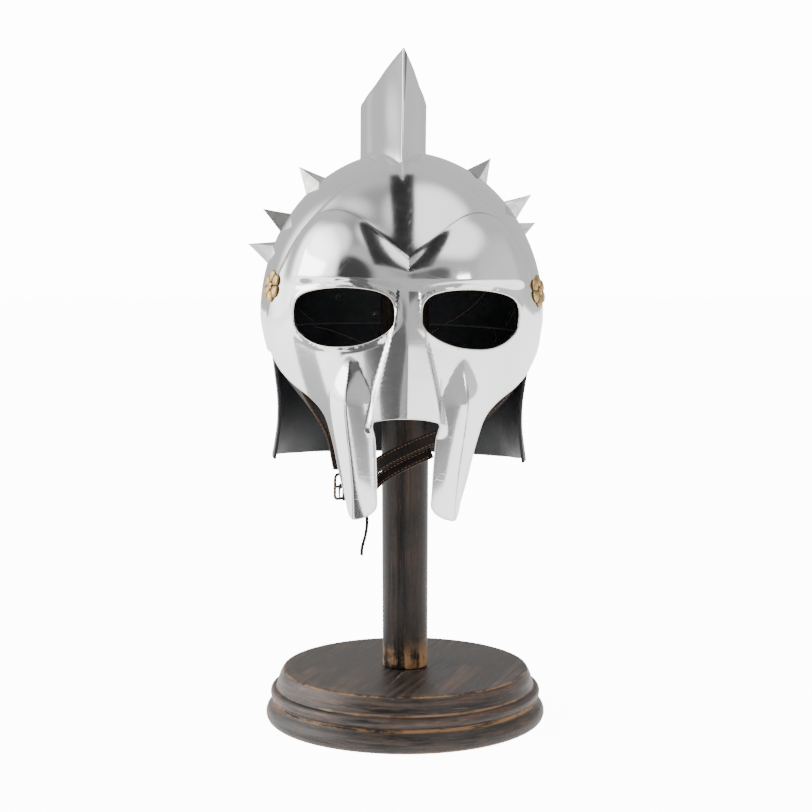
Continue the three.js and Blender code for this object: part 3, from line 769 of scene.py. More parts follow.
seam_shadow = seam_shadow_finish()
scratch_wood = spotted_finish(
    "scratch_wood", 0, (260, 4, 0.7), (0.4, 0.62), (0.26, 0.22, 0.18), (0.03, 0.024, 0.02),
    (0.3, 0.7, 0.4, 0.6))
spike_steel = spotted_finish(
    "spike_steel", 1, (160, 3, 0.55), (0.35, 0.7), (0.62, 0.62, 0.61), (0.44, 0.44, 0.43),
    (0.3, 0.75, 0.26, 0.36), ((420, 2, 0.5), 0.12, 0.0002))
brass = spotted_finish(
    "aged_brass", 1, (260, 4, 0.6), (0.35, 0.7), (0.56, 0.385, 0.165), (0.33, 0.205, 0.075),
    (0.3, 0.7, 0.34, 0.52), ((900, 3, 0.6), 0.25, 0.0003), (0.045, 0.026, 0.012))
thread = spotted_finish(
    "waxed_thread", 0, (2600, 2, 0.5), (0.3, 0.7), (0.18, 0.105, 0.045), (0.09, 0.05, 0.024),
    (0.3, 0.7, 0.55, 0.75), ((2600, 2, 0.5), 0.4, 0.0002))
bronze = spotted_finish(
    "dark_bronze", 1, (420, 4, 0.65), (0.42, 0.68), (0.045, 0.036, 0.03), (0.2, 0.145, 0.11),
    (0.3, 0.7, 0.3, 0.5), ((420, 4, 0.65), 0.3, 0.0003))
steel = steel_finish("polished_steel", (0.87, 0.875, 0.88), (0.78, 0.785, 0.79), 0.085, 0.15, 0.0035)
black_leather = leather_finish(
    "black_leather", (0.011, 0.0115, 0.013), (0.005, 0.0053, 0.006), 0.36, 0.5, 900, (0.035, 0.035, 0.038))
strap_leather = leather_finish(
    "strap_leather", (0.017, 0.011, 0.009), (0.007, 0.0055, 0.005), 0.4, 0.56, 1100, (0.1, 0.05, 0.025))
post_wood = wood_finish("post_wood", (300, 300, 15), (0, 0, 0), 26, 0.22, 0.44)
base_wood = wood_finish("base_wood", (15, 300, 300), (0, 0, 1.2), 20, 0.36, 1.2, (26, 26, 420), 0.0415)


# The lace, which hangs free from the strap's end

LACE = [
    (-32.4, -71, 191.35), (-32.2, -71, 181), (-31.8, -70.5, 171), (-33.2, -70, 161),
    (-35.6, -69.5, 152), (-36, -69.5, 146),
]
LACE_DIAMETER = 2.4


def make_lace():
    line = even_line(LACE, count=24)
    verts, faces = tube(line, LACE_DIAMETER / 2, sides=14, up=(0, 1, 0), rounded=False)
    lace = add_piece("hanging_lace", verts, faces, black_leather, ["chin_lace"],
                     helmet=False)


make_lace()


# Face plate

PLATE_SPACING = 1.45
CREASE_SPACING = 1.3
EYE_BEAD = 0.55


def guard_tip_arc():
    angles = np.radians(np.linspace(25, 165, 15))
    radius = GUARD_TIP_HALF + 0.4
    return joined(GUARD_KEEL_TIP + radius * np.cos(angles), -131.8 - radius * np.sin(angles))


def plate_outline(spacing):
    rows = [row for row in PLATE_ROWS[::-1] if row[1] >= -118]
    tip = guard_tip_arc()
    inner = [(float(keel_line(m) - guard_half(m)), m) for m in (-122.0, -110.0, -98.0, -86.0)]
    lip_half = float(keel_line(LIP_LINE) - guard_half(LIP_LINE))
    edge = even_line(rows + tip.tolist() + inner + [(lip_half, LIP_LINE - 6)], spacing)
    shares = np.linspace(1, -1, 41)
    arch = joined(shares * (lip_half - 0.6), LIP_LINE - 3.2 * np.abs(shares) ** 2.4)
    right = np.vstack([edge, arch[:21]])
    left = right[::-1] * (-1, 1)
    return closed_even(np.vstack([right, left[1:-1]]), spacing)


def crease_nearness(u, m):
    """One on the lines where the raised work starts or folds, falling to nothing at 3 mm; the steel is
    darkened along them as painted shade.
    """
    across = np.abs(u)
    slope = BROW_SWING * math.pi / BROW_SPAN * np.cos(math.pi * np.minimum(across, BROW_SPAN) / BROW_SPAN)
    brow = np.abs(m - brow_line(u)) / np.hypot(1, slope)
    brow = brow + 0.02 * np.maximum(0, across - 60) + np.maximum(0, across - 100)
    keel = np.abs(across - keel_line(m) - 0.7) + 0.05 * np.maximum(0, m + 50) + np.maximum(0, m + 42)
    inner = np.abs(across - keel_line(m) + guard_half(m) + 0.5)
    inner = inner + np.maximum(0, m + 40) * 0.3 + np.maximum(0, LIP_LINE - m)
    nasal = np.abs(across - nasal_half(m) * 1.05) + np.maximum(0, m - EYE_BOTTOM + 2)
    nasal = nasal + np.maximum(0, LIP_LINE + 4 - m)
    distance = np.minimum(np.minimum(brow, keel), np.minimum(inner, nasal))
    return np.clip(1 - distance / 3, 0, 1)


def make_face_plate():
    outline = plate_outline(CREASE_SPACING)
    eyes = [closed_even(eye_outline(side, 400), 1.25) for side in (1, -1)]
    creases = []
    for side in (1, -1):
        for shift in (-0.9, 0.0, 0.9):
            rows = np.linspace(-44, -139, 40)
            keel = joined(side * (keel_line(rows) + shift), rows)
            creases.append(even_line(keel, CREASE_SPACING))
        for shift in (-1.2, 0.0, 1.4):
            us = np.linspace(8, 98, 60)
            brow = joined(side * us, brow_line(us) + shift)
            creases.append(even_line(brow, CREASE_SPACING))
    for shift in (-0.9, 0.0, 0.9):
        rows = np.linspace(24, LIP_LINE + 3, 40)
        creases.append(even_line(joined(np.full(40, shift), rows), CREASE_SPACING))
    edge_marks = np.vstack(eyes)

    def lift_of(u, m):
        near = nearest(joined(np.ravel(u), np.ravel(m)), edge_marks).reshape(np.shape(u))
        bead = EYE_BEAD * np.exp(-(((near - 1.3) / 1.5) ** 2))
        return plate_lift(u, m) + bead

    verts, faces, normals, attributes, points = outlined_shell(
        [outline, *eyes], creases, PLATE_SPACING, lift_of, SHEET)
    # The crease attribute marks where the steel's colour is darkened as painted shade.
    attributes["crease"] = np.concatenate([crease_nearness(*points.T), np.zeros(len(verts) - len(points))])
    add_piece("face_plate_dress", verts, faces, steel, ["face_plate"], normals, attributes)


make_face_plate()


# Skull

def make_skull():
    top = M_PER_RADIAN * math.pi / 2
    heights = np.concatenate([np.linspace(-29.2, 126, 66), np.linspace(129, top, 24)])
    columns = 181
    full = math.pi * U_PER_RADIAN
    start = np.where(
        heights >= 127, 0,
        np.maximum(0, np.minimum(plate_edge(np.maximum(heights, -22)), 130) - 14))
    share = np.linspace(0, 1, columns)
    u = start[:, None] + (2 * full - 2 * start[:, None]) * share[None, :]
    m = np.broadcast_to(heights[:, None], u.shape)
    outer, outer_normals = surface(u, m, lambda a, b: np.zeros(np.shape(a)))
    inner, inner_normals = surface(u, m, lambda a, b: np.full(np.shape(a), -SHEET))
    rows = len(heights)
    seam = int(np.argmax(heights >= 127))
    bottom = list(range(columns))
    right = [i * columns + columns - 1 for i in range(1, seam + 1)]
    left = [i * columns for i in range(seam - 1, 0, -1)]
    ring = np.array(bottom + right + left)
    edge = np.exp(-(m - heights[0]) / 2.2).ravel()
    verts, faces, normals, attributes = shell(
        outer.reshape(-1, 3), outer_normals.reshape(-1, 3), inner.reshape(-1, 3),
        inner_normals.reshape(-1, 3), grid_faces(rows, columns), [ring], edge)
    add_piece("skull_dress", verts, faces, steel, ["skull"], normals, attributes)


make_skull()


# Crest

CREST_FRONT_Y, CREST_FOOT_Z = skin_point(np.array(0.0), np.array(141.0))[1:].tolist()
CREST_LENGTH = 158.0
CREST_HALF = 26.5
CREST_TIP, CREST_SHOULDER, CREST_BEND = 531.0, 494.0, 84
CREST_TURN, CREST_LEAN, CREST_SHIFT = 2.6, -0.8, 3.6
CREST_CORNER = 1.5
CREST_ROWS = [
    (0, 0.03), (0.1, 0.22), (0.22, 0.44), (0.36, 0.67), (0.48, 0.9), (0.56, 1.0), (0.66, 0.97),
    (0.78, 0.8), (0.88, 0.56), (0.95, 0.33), (1, 0.1),
]


def crest_top(run):
    along = np.clip(run, 0, CREST_BEND) / CREST_BEND
    front = mix(CREST_TIP, CREST_SHOULDER, along**1.1)
    past = np.maximum(0, run - CREST_BEND) / (CREST_LENGTH - CREST_BEND)
    return front - 97 * past**1.7


def askew(points):
    """The crest's points, turned, leaned and shifted a little on the crown."""
    turn, lean = math.radians(CREST_TURN), math.radians(CREST_LEAN)
    x, y, z = points[..., 0], points[..., 1] - CREST_FRONT_Y, points[..., 2] - CREST_FOOT_Z
    x, z = x * math.cos(lean) + z * math.sin(lean), z * math.cos(lean) - x * math.sin(lean)
    x, y = x * math.cos(turn) - y * math.sin(turn), x * math.sin(turn) + y * math.cos(turn)
    return joined(x - CREST_SHIFT, y + CREST_FRONT_Y, z + CREST_FOOT_Z)


def crown_height(x, y):
    """Height of the helmet's outer face at a place on the crown."""
    theta = np.arctan2(x, CENTRE_Y - y)
    ring = skin_section(theta, np.zeros(np.shape(theta)))
    share = np.clip(np.hypot(x, y - CENTRE_Y) / ring, 0, 1)
    latitude = np.arccos(share)
    m = latitude * M_PER_RADIAN
    u = theta * U_PER_RADIAN
    covered = plate_edge(m) - np.abs(u) > -0.5
    lift = np.where(covered, plate_lift(u, m) + SHEET, 0)
    up = np.maximum(skin_normal(u, m)[..., 2], 0.3)
    return EQUATOR + DOME_RISE * np.sin(latitude) + lift / up


def wall_foot(x, y, roof):
    """How low a wall of the crest goes before it meets the crown."""
    low, high = np.full(np.shape(x), EQUATOR + 50.0), np.array(roof, float)
    for _ in range(34):
        middle = (low + high) / 2
        placed = askew(joined(x, y, middle))
        over = placed[..., 2] > crown_height(placed[..., 0], placed[..., 1]) - 0.4
        high = np.where(over, middle, high)
        low = np.where(over, low, middle)
    return high


def make_crest():
    half_table = catmull(CREST_ROWS, np.linspace(0, 1, 2001))
    nose = np.array([-0.72, -0.6, -0.35, 0.0])
    runs = np.concatenate([nose, np.linspace(0.9, CREST_LENGTH, 120)])
    wall = np.concatenate([[0, 0.012, 0.028, 0.05, 0.08], np.linspace(0.12, 1, 20)])
    rings = []
    for run in runs:
        share = max(run, 0) / CREST_LENGTH
        half = float(np.interp(share, half_table[:, 0], half_table[:, 1])) * CREST_HALF
        half = max(0.8, half)
        if run < 0:
            half = 0.8 * math.sqrt(max(0.02, 1 - (run / 0.74) ** 2))
        roof = float(crest_top(run))
        crown = 3.0 * half / CREST_HALF
        cut = min(CREST_CORNER, half * 0.7)
        feet = wall_foot(np.array([-half, half]), np.full(2, CREST_FRONT_Y + run), np.full(2, roof))
        if roof - feet.max() < 1.2 and run > 0:
            break
        left, right = (foot + (roof - cut - foot) * wall for foot in feet)
        corner = [(half - cut * (1 - math.cos(angle)), roof - cut * (1 - math.sin(angle)), 99)
                  for angle in np.radians([22.5, 45, 67.5])]
        points = [(-half, z, z - feet[0]) for z in left]
        points += [(-x, z, above) for x, z, above in corner]
        for x in np.linspace(-half + cut, half - cut, 9):
            points.append((x, roof + crown * (1 - (x / half) ** 2), 99))
        points += corner[::-1]
        points += [(half, z, z - feet[1]) for z in right[::-1]]
        points += [(x, None, 0) for x in np.linspace(half, -half, 8)[1:-1]]
        placed = []
        for x, z, above in points:
            if z is None:
                z = float(wall_foot(np.array([x]), np.array([CREST_FRONT_Y + run]), np.array([roof]))[0])
            lean = 6 * (1 - share) * float(smooth(EQUATOR + 120, CREST_TIP, z))
            flare = 1.5 * math.exp(-above / 2.6)
            side = float(np.sign(x)) if abs(x) > 0.98 * half else 0
            forward = flare * math.exp(-max(run, 0) / 5)
            belly = 0.9 * math.sin(math.pi * min(1, above / 60))
            belly *= math.sin(math.pi * min(1, share * 2.2)) ** 2
            outward = flare * min(1, max(run, 0) / 8) + (belly if above < 60 else 0)
            placed.append((x + side * outward, CREST_FRONT_Y + run - lean - forward, z))
        rings.append(placed)
    rings = askew(np.array(rings))
    verts, faces = loft(rings)
    add_piece("crest_dress", verts, faces, steel, ["crest_fin"], sharp=50)
    # A dark sheet along the top of the fold: a painted shadow where the crest's seam stands open.
    share = np.linspace(0, 1, 30)
    columns = []
    for k in np.linspace(0, 1, 6):
        run = 0.3 + k * 7.5 * (1 - share) ** 0.8
        height = mix(crest_top(run) - 1.0, 490.0, share)
        forward = 6 * (1 - run / CREST_LENGTH) * smooth(EQUATOR + 120, CREST_TIP, height)
        columns.append(joined(0.95 + 0.319 * run, CREST_FRONT_Y + run - forward, height))
    sheet = np.stack(columns, axis=1)[::-1]
    add_piece("crest_seam_shadow", askew(sheet).reshape(-1, 3), grid_faces(*sheet.shape[:2]), seam_shadow)


make_crest()


# Spikes

SPIKES = [
    ("left_1", -1, 100, 107, 20), ("left_2", -1, 87, 70, 45), ("left_3", -1, 98, 44, 30),
    ("left_4", -1, 138, 70, 45), ("right_1", 1, 107, 121, 10), ("right_2", 1, 84, 86, 45),
    ("right_3", 1, 113, 63, 35), ("right_4", 1, 140, 78, 45),
]
SPIKE_HEIGHT, SPIKE_SIDE, SPIKE_SUNK, SPIKE_CHAMFER = 20.5, 15.5, 0.9, 0.28


def stand_on(u, m, lift, spin):
    """Origin and three axes of a seat on the skin, the third one outward."""
    u, m = np.array(float(u)), np.array(float(m))
    up = skin_normal(u, m)
    turn = Vector((0, 0, 1)).rotation_difference(Vector(up)).to_matrix()
    c, s = math.cos(math.radians(spin)), math.sin(math.radians(spin))
    x = np.array(turn @ Vector((1, 0, 0)))
    y = np.array(turn @ Vector((0, 1, 0)))
    place = lifted(u, m, np.array(float(lift)))
    return place, x * c + y * s, y * c - x * s, up


def make_spike(name, side, around, m, spin):
    place, x, y, up = stand_on(side * math.radians(around) * U_PER_RADIAN, m, 0, spin)
    tall = SPIKE_HEIGHT + SPIKE_SUNK
    spread = SPIKE_SIDE / math.sqrt(2) * tall / SPIKE_HEIGHT
    verts, normals, faces = [], [], []
    rows = 9
    for k in range(4):
        a, b = (math.radians(90 * (k + step)) for step in (0, 1))
        corner_a = np.array([math.sin(a), math.cos(a)]) * spread
        corner_b = np.array([math.sin(b), math.cos(b)]) * spread
        along = unit(corner_b - corner_a)
        middle = (corner_a + corner_b) / 2
        flat = np.linalg.norm(middle)
        normal = unit(np.array([*(middle / flat) * tall, flat]))
        for i in range(rows):
            share = i / (rows - 1) * 0.985
            for at, inward in ((corner_a, 1), (corner_b, -1)):
                cut = min(SPIKE_CHAMFER, 0.45 * np.linalg.norm(at) * (1 - share))
                hollow = 0.12 * math.sin(math.pi * share)
                point = at * (1 - share) + along * inward * cut - middle / flat * hollow
                verts.append([*point, tall * share - SPIKE_SUNK])
                normals.append(normal)
    for k in range(4):
        base, following = k * rows * 2, ((k + 1) % 4) * rows * 2
        for i in range(rows - 1):
            a, b = base + 2 * i, base + 2 * i + 1
            c, d = following + 2 * i, following + 2 * i + 2
            faces.append([b, a, a + 2, b + 2])
            faces.append([c, b, b + 2, d])
    top = [k * rows * 2 + 2 * (rows - 1) + j for k in range(4) for j in (0, 1)]
    bottom = [k * rows * 2 + j for k in range(4) for j in (0, 1)]
    faces.append(top[::-1])
    faces.append(bottom)
    verts, normals = np.array(verts), np.array(normals)
    axes = np.stack([x, y, up])
    add_piece(f"spike_{name}_dress", place + verts @ axes, faces, spike_steel,
              [f"spike_{name}"], normals @ axes, welded=False)


for row in SPIKES:
    make_spike(*row)


# Rosettes

ROSETTE_U, ROSETTE_M, ROSETTE_RADIUS = 114.0, 21.0, 12.5


def make_rosette(side):
    """Six petals round a low knob, with dark grooves marked as low."""
    seat = float(plate_lift(np.array(ROSETTE_U - ROSETTE_RADIUS), np.array(ROSETTE_M))) + SHEET - 0.5
    place, x, y, up = stand_on(side * ROSETTE_U, ROSETTE_M, seat, 0)
    sectors, rings_in = 144, 26
    angles = np.linspace(0, 2 * math.pi, sectors, endpoint=False)
    lobe = np.abs(np.sin(3 * angles))
    outline = ROSETTE_RADIUS * (1 - 0.16 * (1 - lobe**0.7))
    across_x, across_y = outline * np.cos(angles), outline * np.sin(angles)
    rows, lows = [], []
    for share in np.linspace(0.03, 1, rings_in):
        petal = np.clip((share - 0.27) / 0.73, 0, 1)
        dome = np.sin(math.pi * petal) ** 0.55 if petal > 0 else 0
        across = lobe**0.55
        vein = 0.35 * np.exp(-((np.cos(3 * angles) / 0.16) ** 2)) * dome
        height = 1.1 + 1.5 * dome * (0.2 + 0.8 * across) - vein
        if share < 0.3:
            knob = 1.4 + 1.7 * math.sqrt(max(0, 1 - (share / 0.3) ** 2))
            height = np.full(sectors, knob) + 0.2 * np.cos(5 * angles) * (share / 0.3)
        groove = 1 - across
        deep = np.clip(groove * 1.2 + math.exp(-(((share - 0.3) / 0.05) ** 2)), 0, 1)
        if share > 0.93:
            height = height * mix(1, 0.62, (share - 0.93) / 0.07)
        rows.append(joined(across_x * share, across_y * share, height))
        lows.append(deep * (0.85 if share > 0.2 else 0.2))
    for scale, height in ((1.0, 0.7), (0.985, 0.25), (0.93, 0.0)):
        rows.append(joined(across_x * scale, across_y * scale, np.full(sectors, height)))
        lows.append(np.full(sectors, 0.85))
    verts, faces = loft(np.array(rows), caps=False)
    faces = [face[::-1] for face in faces]
    count = len(verts)
    last_ring = (len(rows) - 1) * sectors
    verts = np.vstack([verts, [[0, 0, 3.1], [0, 0, 0]]])
    for j in range(sectors):
        k = (j + 1) % sectors
        faces.append([count, j, k])
        faces.append([count + 1, last_ring + k, last_ring + j])
    low = np.concatenate([np.concatenate(lows), [0.1, 0.9]])
    name = "left" if side < 0 else "right"
    axes = np.stack([x, y, up])
    add_piece(f"rosette_{name}_dress", place + verts @ axes, faces, brass,
              [f"rosette_{name}"], attributes={"low": low}, sharp=60)


for side in (-1, 1):
    make_rosette(side)


# Stitches, as short flattened capsules along a line on a surface

SEAM_STITCH = (2.6, 1.8, 0.22)
STRAP_STITCH = (3.1, 2.2, 0.27)


def stitch_row(line, normals, pitch, length, radius):
    """Capsules along line, every pitch millimetres, each lying on the surface under it."""
    line = np.asarray(line, float)
    gaps = np.linalg.norm(np.diff(line, axis=0), axis=1)
    along = np.concatenate([[0], np.cumsum(gaps)])
    parts = []
    angles = np.linspace(0, 2 * math.pi, 8, endpoint=False)
    for centre in np.arange(pitch / 2, along[-1], pitch):
        stations = centre + length * np.array([-0.5, -0.42, -0.2, 0.2, 0.42, 0.5])
        stations = np.clip(stations, 0, along[-1])
        spots = sampled(stations, along, line)
        ups = unit(sampled(stations, along, normals))
        way = unit(spots[-1] - spots[0])
        rings = []
        for spot, up, size in zip(spots, ups, (0.35, 0.8, 1, 1, 0.8, 0.35)):
            across = unit(np.cross(way, up))
            sink = (1 - size) * radius * 1.2
            offsets = (np.cos(angles)[:, None] * across + 0.75 * np.sin(angles)[:, None] * up)
            rings.append(spot - up * sink + offsets * radius * size)
        parts.append(loft(np.array(rings)[:, ::-1]))
    return parts


# Liner: its holes and seams in u and m, and the neck guard's seams in angle and share down

LINER_HOLES = [(420, 5), (387.5, -9.5), (333.5, 9.5)]
LINER_SEAMS = [
    [(461, -5), (453.5, -10), (446, -14.5)],
    [(291, 13), (303, 2), (316.5, -8.5), (328, -15.5)],
    [(250, 2), (258.5, -9.5), (264.5, -15.2)],
]
NECK_SEAMS = [
    [(3.75, 0.012), (3.66, 0.03), (3.53, 0.075), (3.43, 0.116), (3.35, 0.15)],
    [(2.84, 0.018), (2.87, 0.04), (2.93, 0.078), (2.97, 0.11)],
    [(2.37, 0.018), (2.34, 0.045), (2.33, 0.09)],
]


LINER_FROM, LINER_FOOT, LINER_TOP = 80, -17, 78


def make_liner():
    start = math.radians(LINER_FROM) * U_PER_RADIAN
    end = 2 * math.pi * U_PER_RADIAN - start
    corners = [(start, LINER_FOOT), (end, LINER_FOOT), (end, LINER_TOP), (start, LINER_TOP)]
    outline = closed_even(corners, 2.4)
    turn = np.linspace(0, 2 * math.pi, 16, endpoint=False)
    holes = [joined(u + 2.1 * np.cos(turn), m + 2.1 * np.sin(turn)) for u, m in LINER_HOLES]
    lift = -(SHEET + INSIDE_GAP) - LEATHER
    verts, faces, normals, attributes, _ = outlined_shell(
        [outline, *holes], [], 2.6, lambda a, b: np.full(np.shape(a), lift), LEATHER)
    add_piece("liner_dress", verts, faces, black_leather, ["liner"], normals, attributes)
    parts = []
    for seam in LINER_SEAMS:
        u, m = even_line(seam, spacing=1.2).T
        inward = -skin_normal(u, m)
        parts += stitch_row(lifted(u, m, np.full(len(u), lift - 0.1)), inward, *SEAM_STITCH)
    verts, faces = combined(parts)
    add_piece("liner_stitches", verts, faces, thread, sharp=0, welded=False)


make_liner()


# Neck guard: share down, and how far it stands away at the side and at the back

NECK_ROWS = [
    (0, 0, 0), (0.12, -1.5, -1), (0.3, -4, -2), (0.5, -6.5, -1), (0.7, -7, 3), (0.86, -5.5, 8), (1, -3.5, 14),
]
neck_curve = catmull(NECK_ROWS, np.linspace(0, 1, 601))
NECK_TOP, NECK_CORNER_HEM, NECK_BACK_HEM = 309.0, 213.0, 198.0
NECK_FROM = 74


def neck_point(theta, share, depth):
    at_top = skin_section(theta, np.full(np.shape(theta), -18.0)) - SHEET - INSIDE_GAP - depth
    rear = np.maximum(0, -np.cos(theta))
    side_away = np.interp(share, neck_curve[:, 0], neck_curve[:, 1])
    back_away = np.interp(share, neck_curve[:, 0], neck_curve[:, 2])
    away = mix(side_away, back_away, rear**1.5)
    hem = mix(NECK_CORNER_HEM, NECK_BACK_HEM, rear)
    ripple = 0.7 * np.sin(theta * 9 + 0.6) * share**1.5 + 0.4 * np.sin(theta * 17 + 2) * share**2
    reach = at_top + away - 2.4 * smooth(0, 0.16, share) + ripple
    height = mix(NECK_TOP, hem, share)
    return joined(reach * np.sin(theta), CENTRE_Y - reach * np.cos(theta), height)


def make_neck_guard():
    start = math.radians(NECK_FROM) + 0.008
    thetas = np.linspace(start, 2 * math.pi - start, 181)
    shares = np.concatenate([[1, 0.994], np.linspace(0.985, 0.0, 46)])
    theta, share = np.meshgrid(thetas, shares)
    outer = neck_point(theta, share, 0.0)
    inner = neck_point(theta, share, LEATHER)
    rows, columns = outer.shape[:2]
    edge = np.exp(-(1 - share) * 100 / 1.6).ravel()
    verts, faces, normals, attributes = shell(
        outer.reshape(-1, 3), grid_normals(outer).reshape(-1, 3), inner.reshape(-1, 3),
        grid_normals(inner).reshape(-1, 3), grid_faces(rows, columns), [grid_ring(rows, columns)], edge)
    add_piece("neck_guard_dress", verts, faces, black_leather, ["neck_guard"],
              normals, attributes)
    parts = []
    for seam in NECK_SEAMS:
        theta, share = even_line(seam, count=30).T
        line = neck_point(theta, share, LEATHER + 0.1)
        inward = joined(-np.sin(theta), np.cos(theta), np.zeros(len(theta)))
        parts += stitch_row(line, inward, *SEAM_STITCH)
    verts, faces = combined(parts)
    add_piece("neck_guard_stitches", verts, faces, thread, sharp=0, welded=False)


make_neck_guard()


# Straps: flat bands swept along a smooth line, with a stitched line near each edge

STRAP_THICKNESS, STRAP_CORNER = 2.0, 0.75
SEAT_LIFT = -(SHEET + INSIDE_GAP + STRAP_THICKNESS / 2)


def seat(side):
    u, m = np.array(side * 139.0), np.array(-20.0)
    return lifted(u, m, np.array(SEAT_LIFT)).tolist(), skin_normal(u, m).tolist()


left_seat, left_outward = seat(-1)
right_seat, right_outward = seat(1)
STRAPS = {
    "chin_strap_left": (
        [left_seat, (-90, -49, 286), (-77, -60, 268), (-58, -71, 240), (-48.5, -85, 214)],
        [left_outward, (-1, -0.3, 0), (-1, 0, 0), (-0.95, 0.2, 0), (-0.72, 0.7, 0)], 11.0),
    "chin_strap_right": (
        [(-44.7, -85.7, 205), (-31, -76, 206), (-17, -54, 214), (8, -46, 226), (31, -52, 237),
         (58, -58, 253), (80, -54, 274), right_seat],
        [(0.72, -0.7, 0), (0.6, -0.8, 0), (0, -1, 0.2), (0, -1, 0.3), (0.1, -1, 0.2),
         (0.4, -1, 0.1), (0.8, -0.9, 0), right_outward], 11.0),
    "chin_strap_end": (
        [(-44.7, -85.7, 194.4), (-27, -71, 195.5), (-14.5, -50, 203), (5, -42, 213), (24, -42, 222)],
        [(0.72, -0.7, 0), (0.6, -0.8, 0), (-0.1, -1, 0.3), (0, -1, 0.5), (0.1, -1, 0.6)], 8.8),
}


def make_strap(name):
    points, facing, width = STRAPS[name]
    line = even_line(points, spacing=1.3)
    shares = np.linspace(0, 1, len(line))
    looks = unit(catmull(facing, shares))
    along = unit(np.gradient(line, axis=0))
    across = unit(np.cross(along, looks))
    out = unit(np.cross(across, along))
    half, deep, corner = width / 2, STRAP_THICKNESS / 2, STRAP_CORNER
    bend = np.radians([67.5, 45, 22.5, 0, -22.5, -45, -67.5])
    side = half - corner + corner * np.cos(bend)
    rise = (deep - corner) * np.sign(bend) + corner * np.sin(bend)
    flat = np.linspace(-1, 1, 9)
    section = np.vstack([
        joined(flat * (half - corner), deep + 0.12 * (1 - flat * flat)),
        joined(side, rise),
        joined(-flat * (half - corner), np.full(9, -deep)),
        joined(-side, -rise),
    ])
    sideways, upward = section[None, :, 0:1], section[None, :, 1:2]
    verts, faces = loft(line[:, None, :] + sideways * across[:, None, :] + upward * out[:, None, :])
    near = np.exp(-(half - np.abs(section[:, 0])) / 0.5)
    edge = np.tile(near, len(line))
    add_piece(name + "_dress", verts, faces, strap_leather, [name],
              attributes={"edge": edge}, sharp=50)
    parts = []
    for side in (-1, 1):
        for face in (-1, 1):
            row = line + across * side * (half - 1.7) + out * face * (deep + 0.1)
            parts += stitch_row(row[2:-2], out[2:-2] * face, *STRAP_STITCH)
    verts, faces = combined(parts)
    add_piece(name + "_stitches", verts, faces, thread, sharp=0, welded=False)


for name in STRAPS:
    make_strap(name)


# Buckle

BUCKLE_AT = (-46.5, -84, 201)
BUCKLE_TURN = 0.8


def make_buckle():
    half_w, half_l, corner = 6.35, 9.35, 3.2
    path = []
    for cx, cz, begin in ((1, 1, 0), (-1, 1, 90), (-1, -1, 180), (1, -1, 270)):
        for angle in np.radians(np.linspace(begin, begin + 90, 7)):
            path.append((cx * (half_w - corner) + corner * math.cos(angle), 0.0,
                         cz * (half_l - corner) + corner * math.sin(angle)))
    path = np.array(path + path[:1])
    path = even_line(path, spacing=0.9, curved=False)[:-1]
    along = unit(np.roll(path, -1, axis=0) - np.roll(path, 1, axis=0))
    up = np.array([0, 1.0, 0])
    across = unit(np.cross(along, np.broadcast_to(up, path.shape)))
    angles = np.linspace(0, 2 * math.pi, 12, endpoint=False)
    rings = (path[:, None, :] + 1.15 * np.cos(angles)[None, :, None] * across[:, None, :]
             + 1.05 * np.sin(angles)[None, :, None] * up)
    rings = np.concatenate([rings, rings[:1]])
    parts = [loft(rings[:, ::-1], caps=False)]
    parts.append(tube([(-6.2, 0, 0), (-3, 0, 0), (0, 0, 0), (3, 0, 0), (6.2, 0, 0)], 1.05, 12))
    prong = even_line([(0, 1.0, 0.6), (0, 1.5, -3), (0, 1.35, -7), (0, 1.1, -9.6)], count=12)
    parts.append(tube(prong, np.linspace(0.95, 0.6, 13), 10, up=(1, 0, 0)))
    wrap = even_line([(0, 1.0, 0.8), (0, 0.2, 1.5), (0, -1.1, 0.6), (0, -1.2, -0.6), (0, -0.2, -1.5),
                      (0, 1.0, -0.8)], count=14)
    parts.append(tube(wrap, 0.75, 10, up=(1, 0, 0)))
    verts, faces = combined(parts)
    c, s = math.cos(BUCKLE_TURN), math.sin(BUCKLE_TURN)
    x, y, z = verts.T
    placed = joined(x * c - y * s, x * s + y * c, z) + BUCKLE_AT
    add_piece("chin_buckle_dress", placed, faces, bronze, ["chin_buckle"], sharp=50)


make_buckle()


# Stand

def lathe(profile, wear, sides, wobble):
    profile = np.asarray(profile, float)
    angles = np.linspace(0, 2 * math.pi, sides, endpoint=False)
    uneven = 1 + wobble * (np.sin(2 * angles + 0.7) + 0.6 * np.sin(5 * angles + 2.1)) / 100
    radius, height = profile[:, 0:1], profile[:, 1:2]
    height = np.broadcast_to(height, (len(profile), sides))
    rings = joined(radius * np.cos(angles) * uneven, radius * np.sin(angles) * uneven, height)
    verts, faces = loft(rings)
    return verts, faces, np.repeat(wear, sides)


def refined(runs, spacings):
    """Smooth runs joined at their ends, each given as a list of (radius, height)."""
    runs = [even_line(run, spacing) for run, spacing in zip(runs, spacings)]
    return np.vstack([runs[0]] + [run[1:] for run in runs[1:]])


BASE_RADIUS, BASE_HEIGHT = 112.5, 42.0
POST_FOOT, POST_MIDDLE, POST_TOP = 18.0, 18.6, 19.4


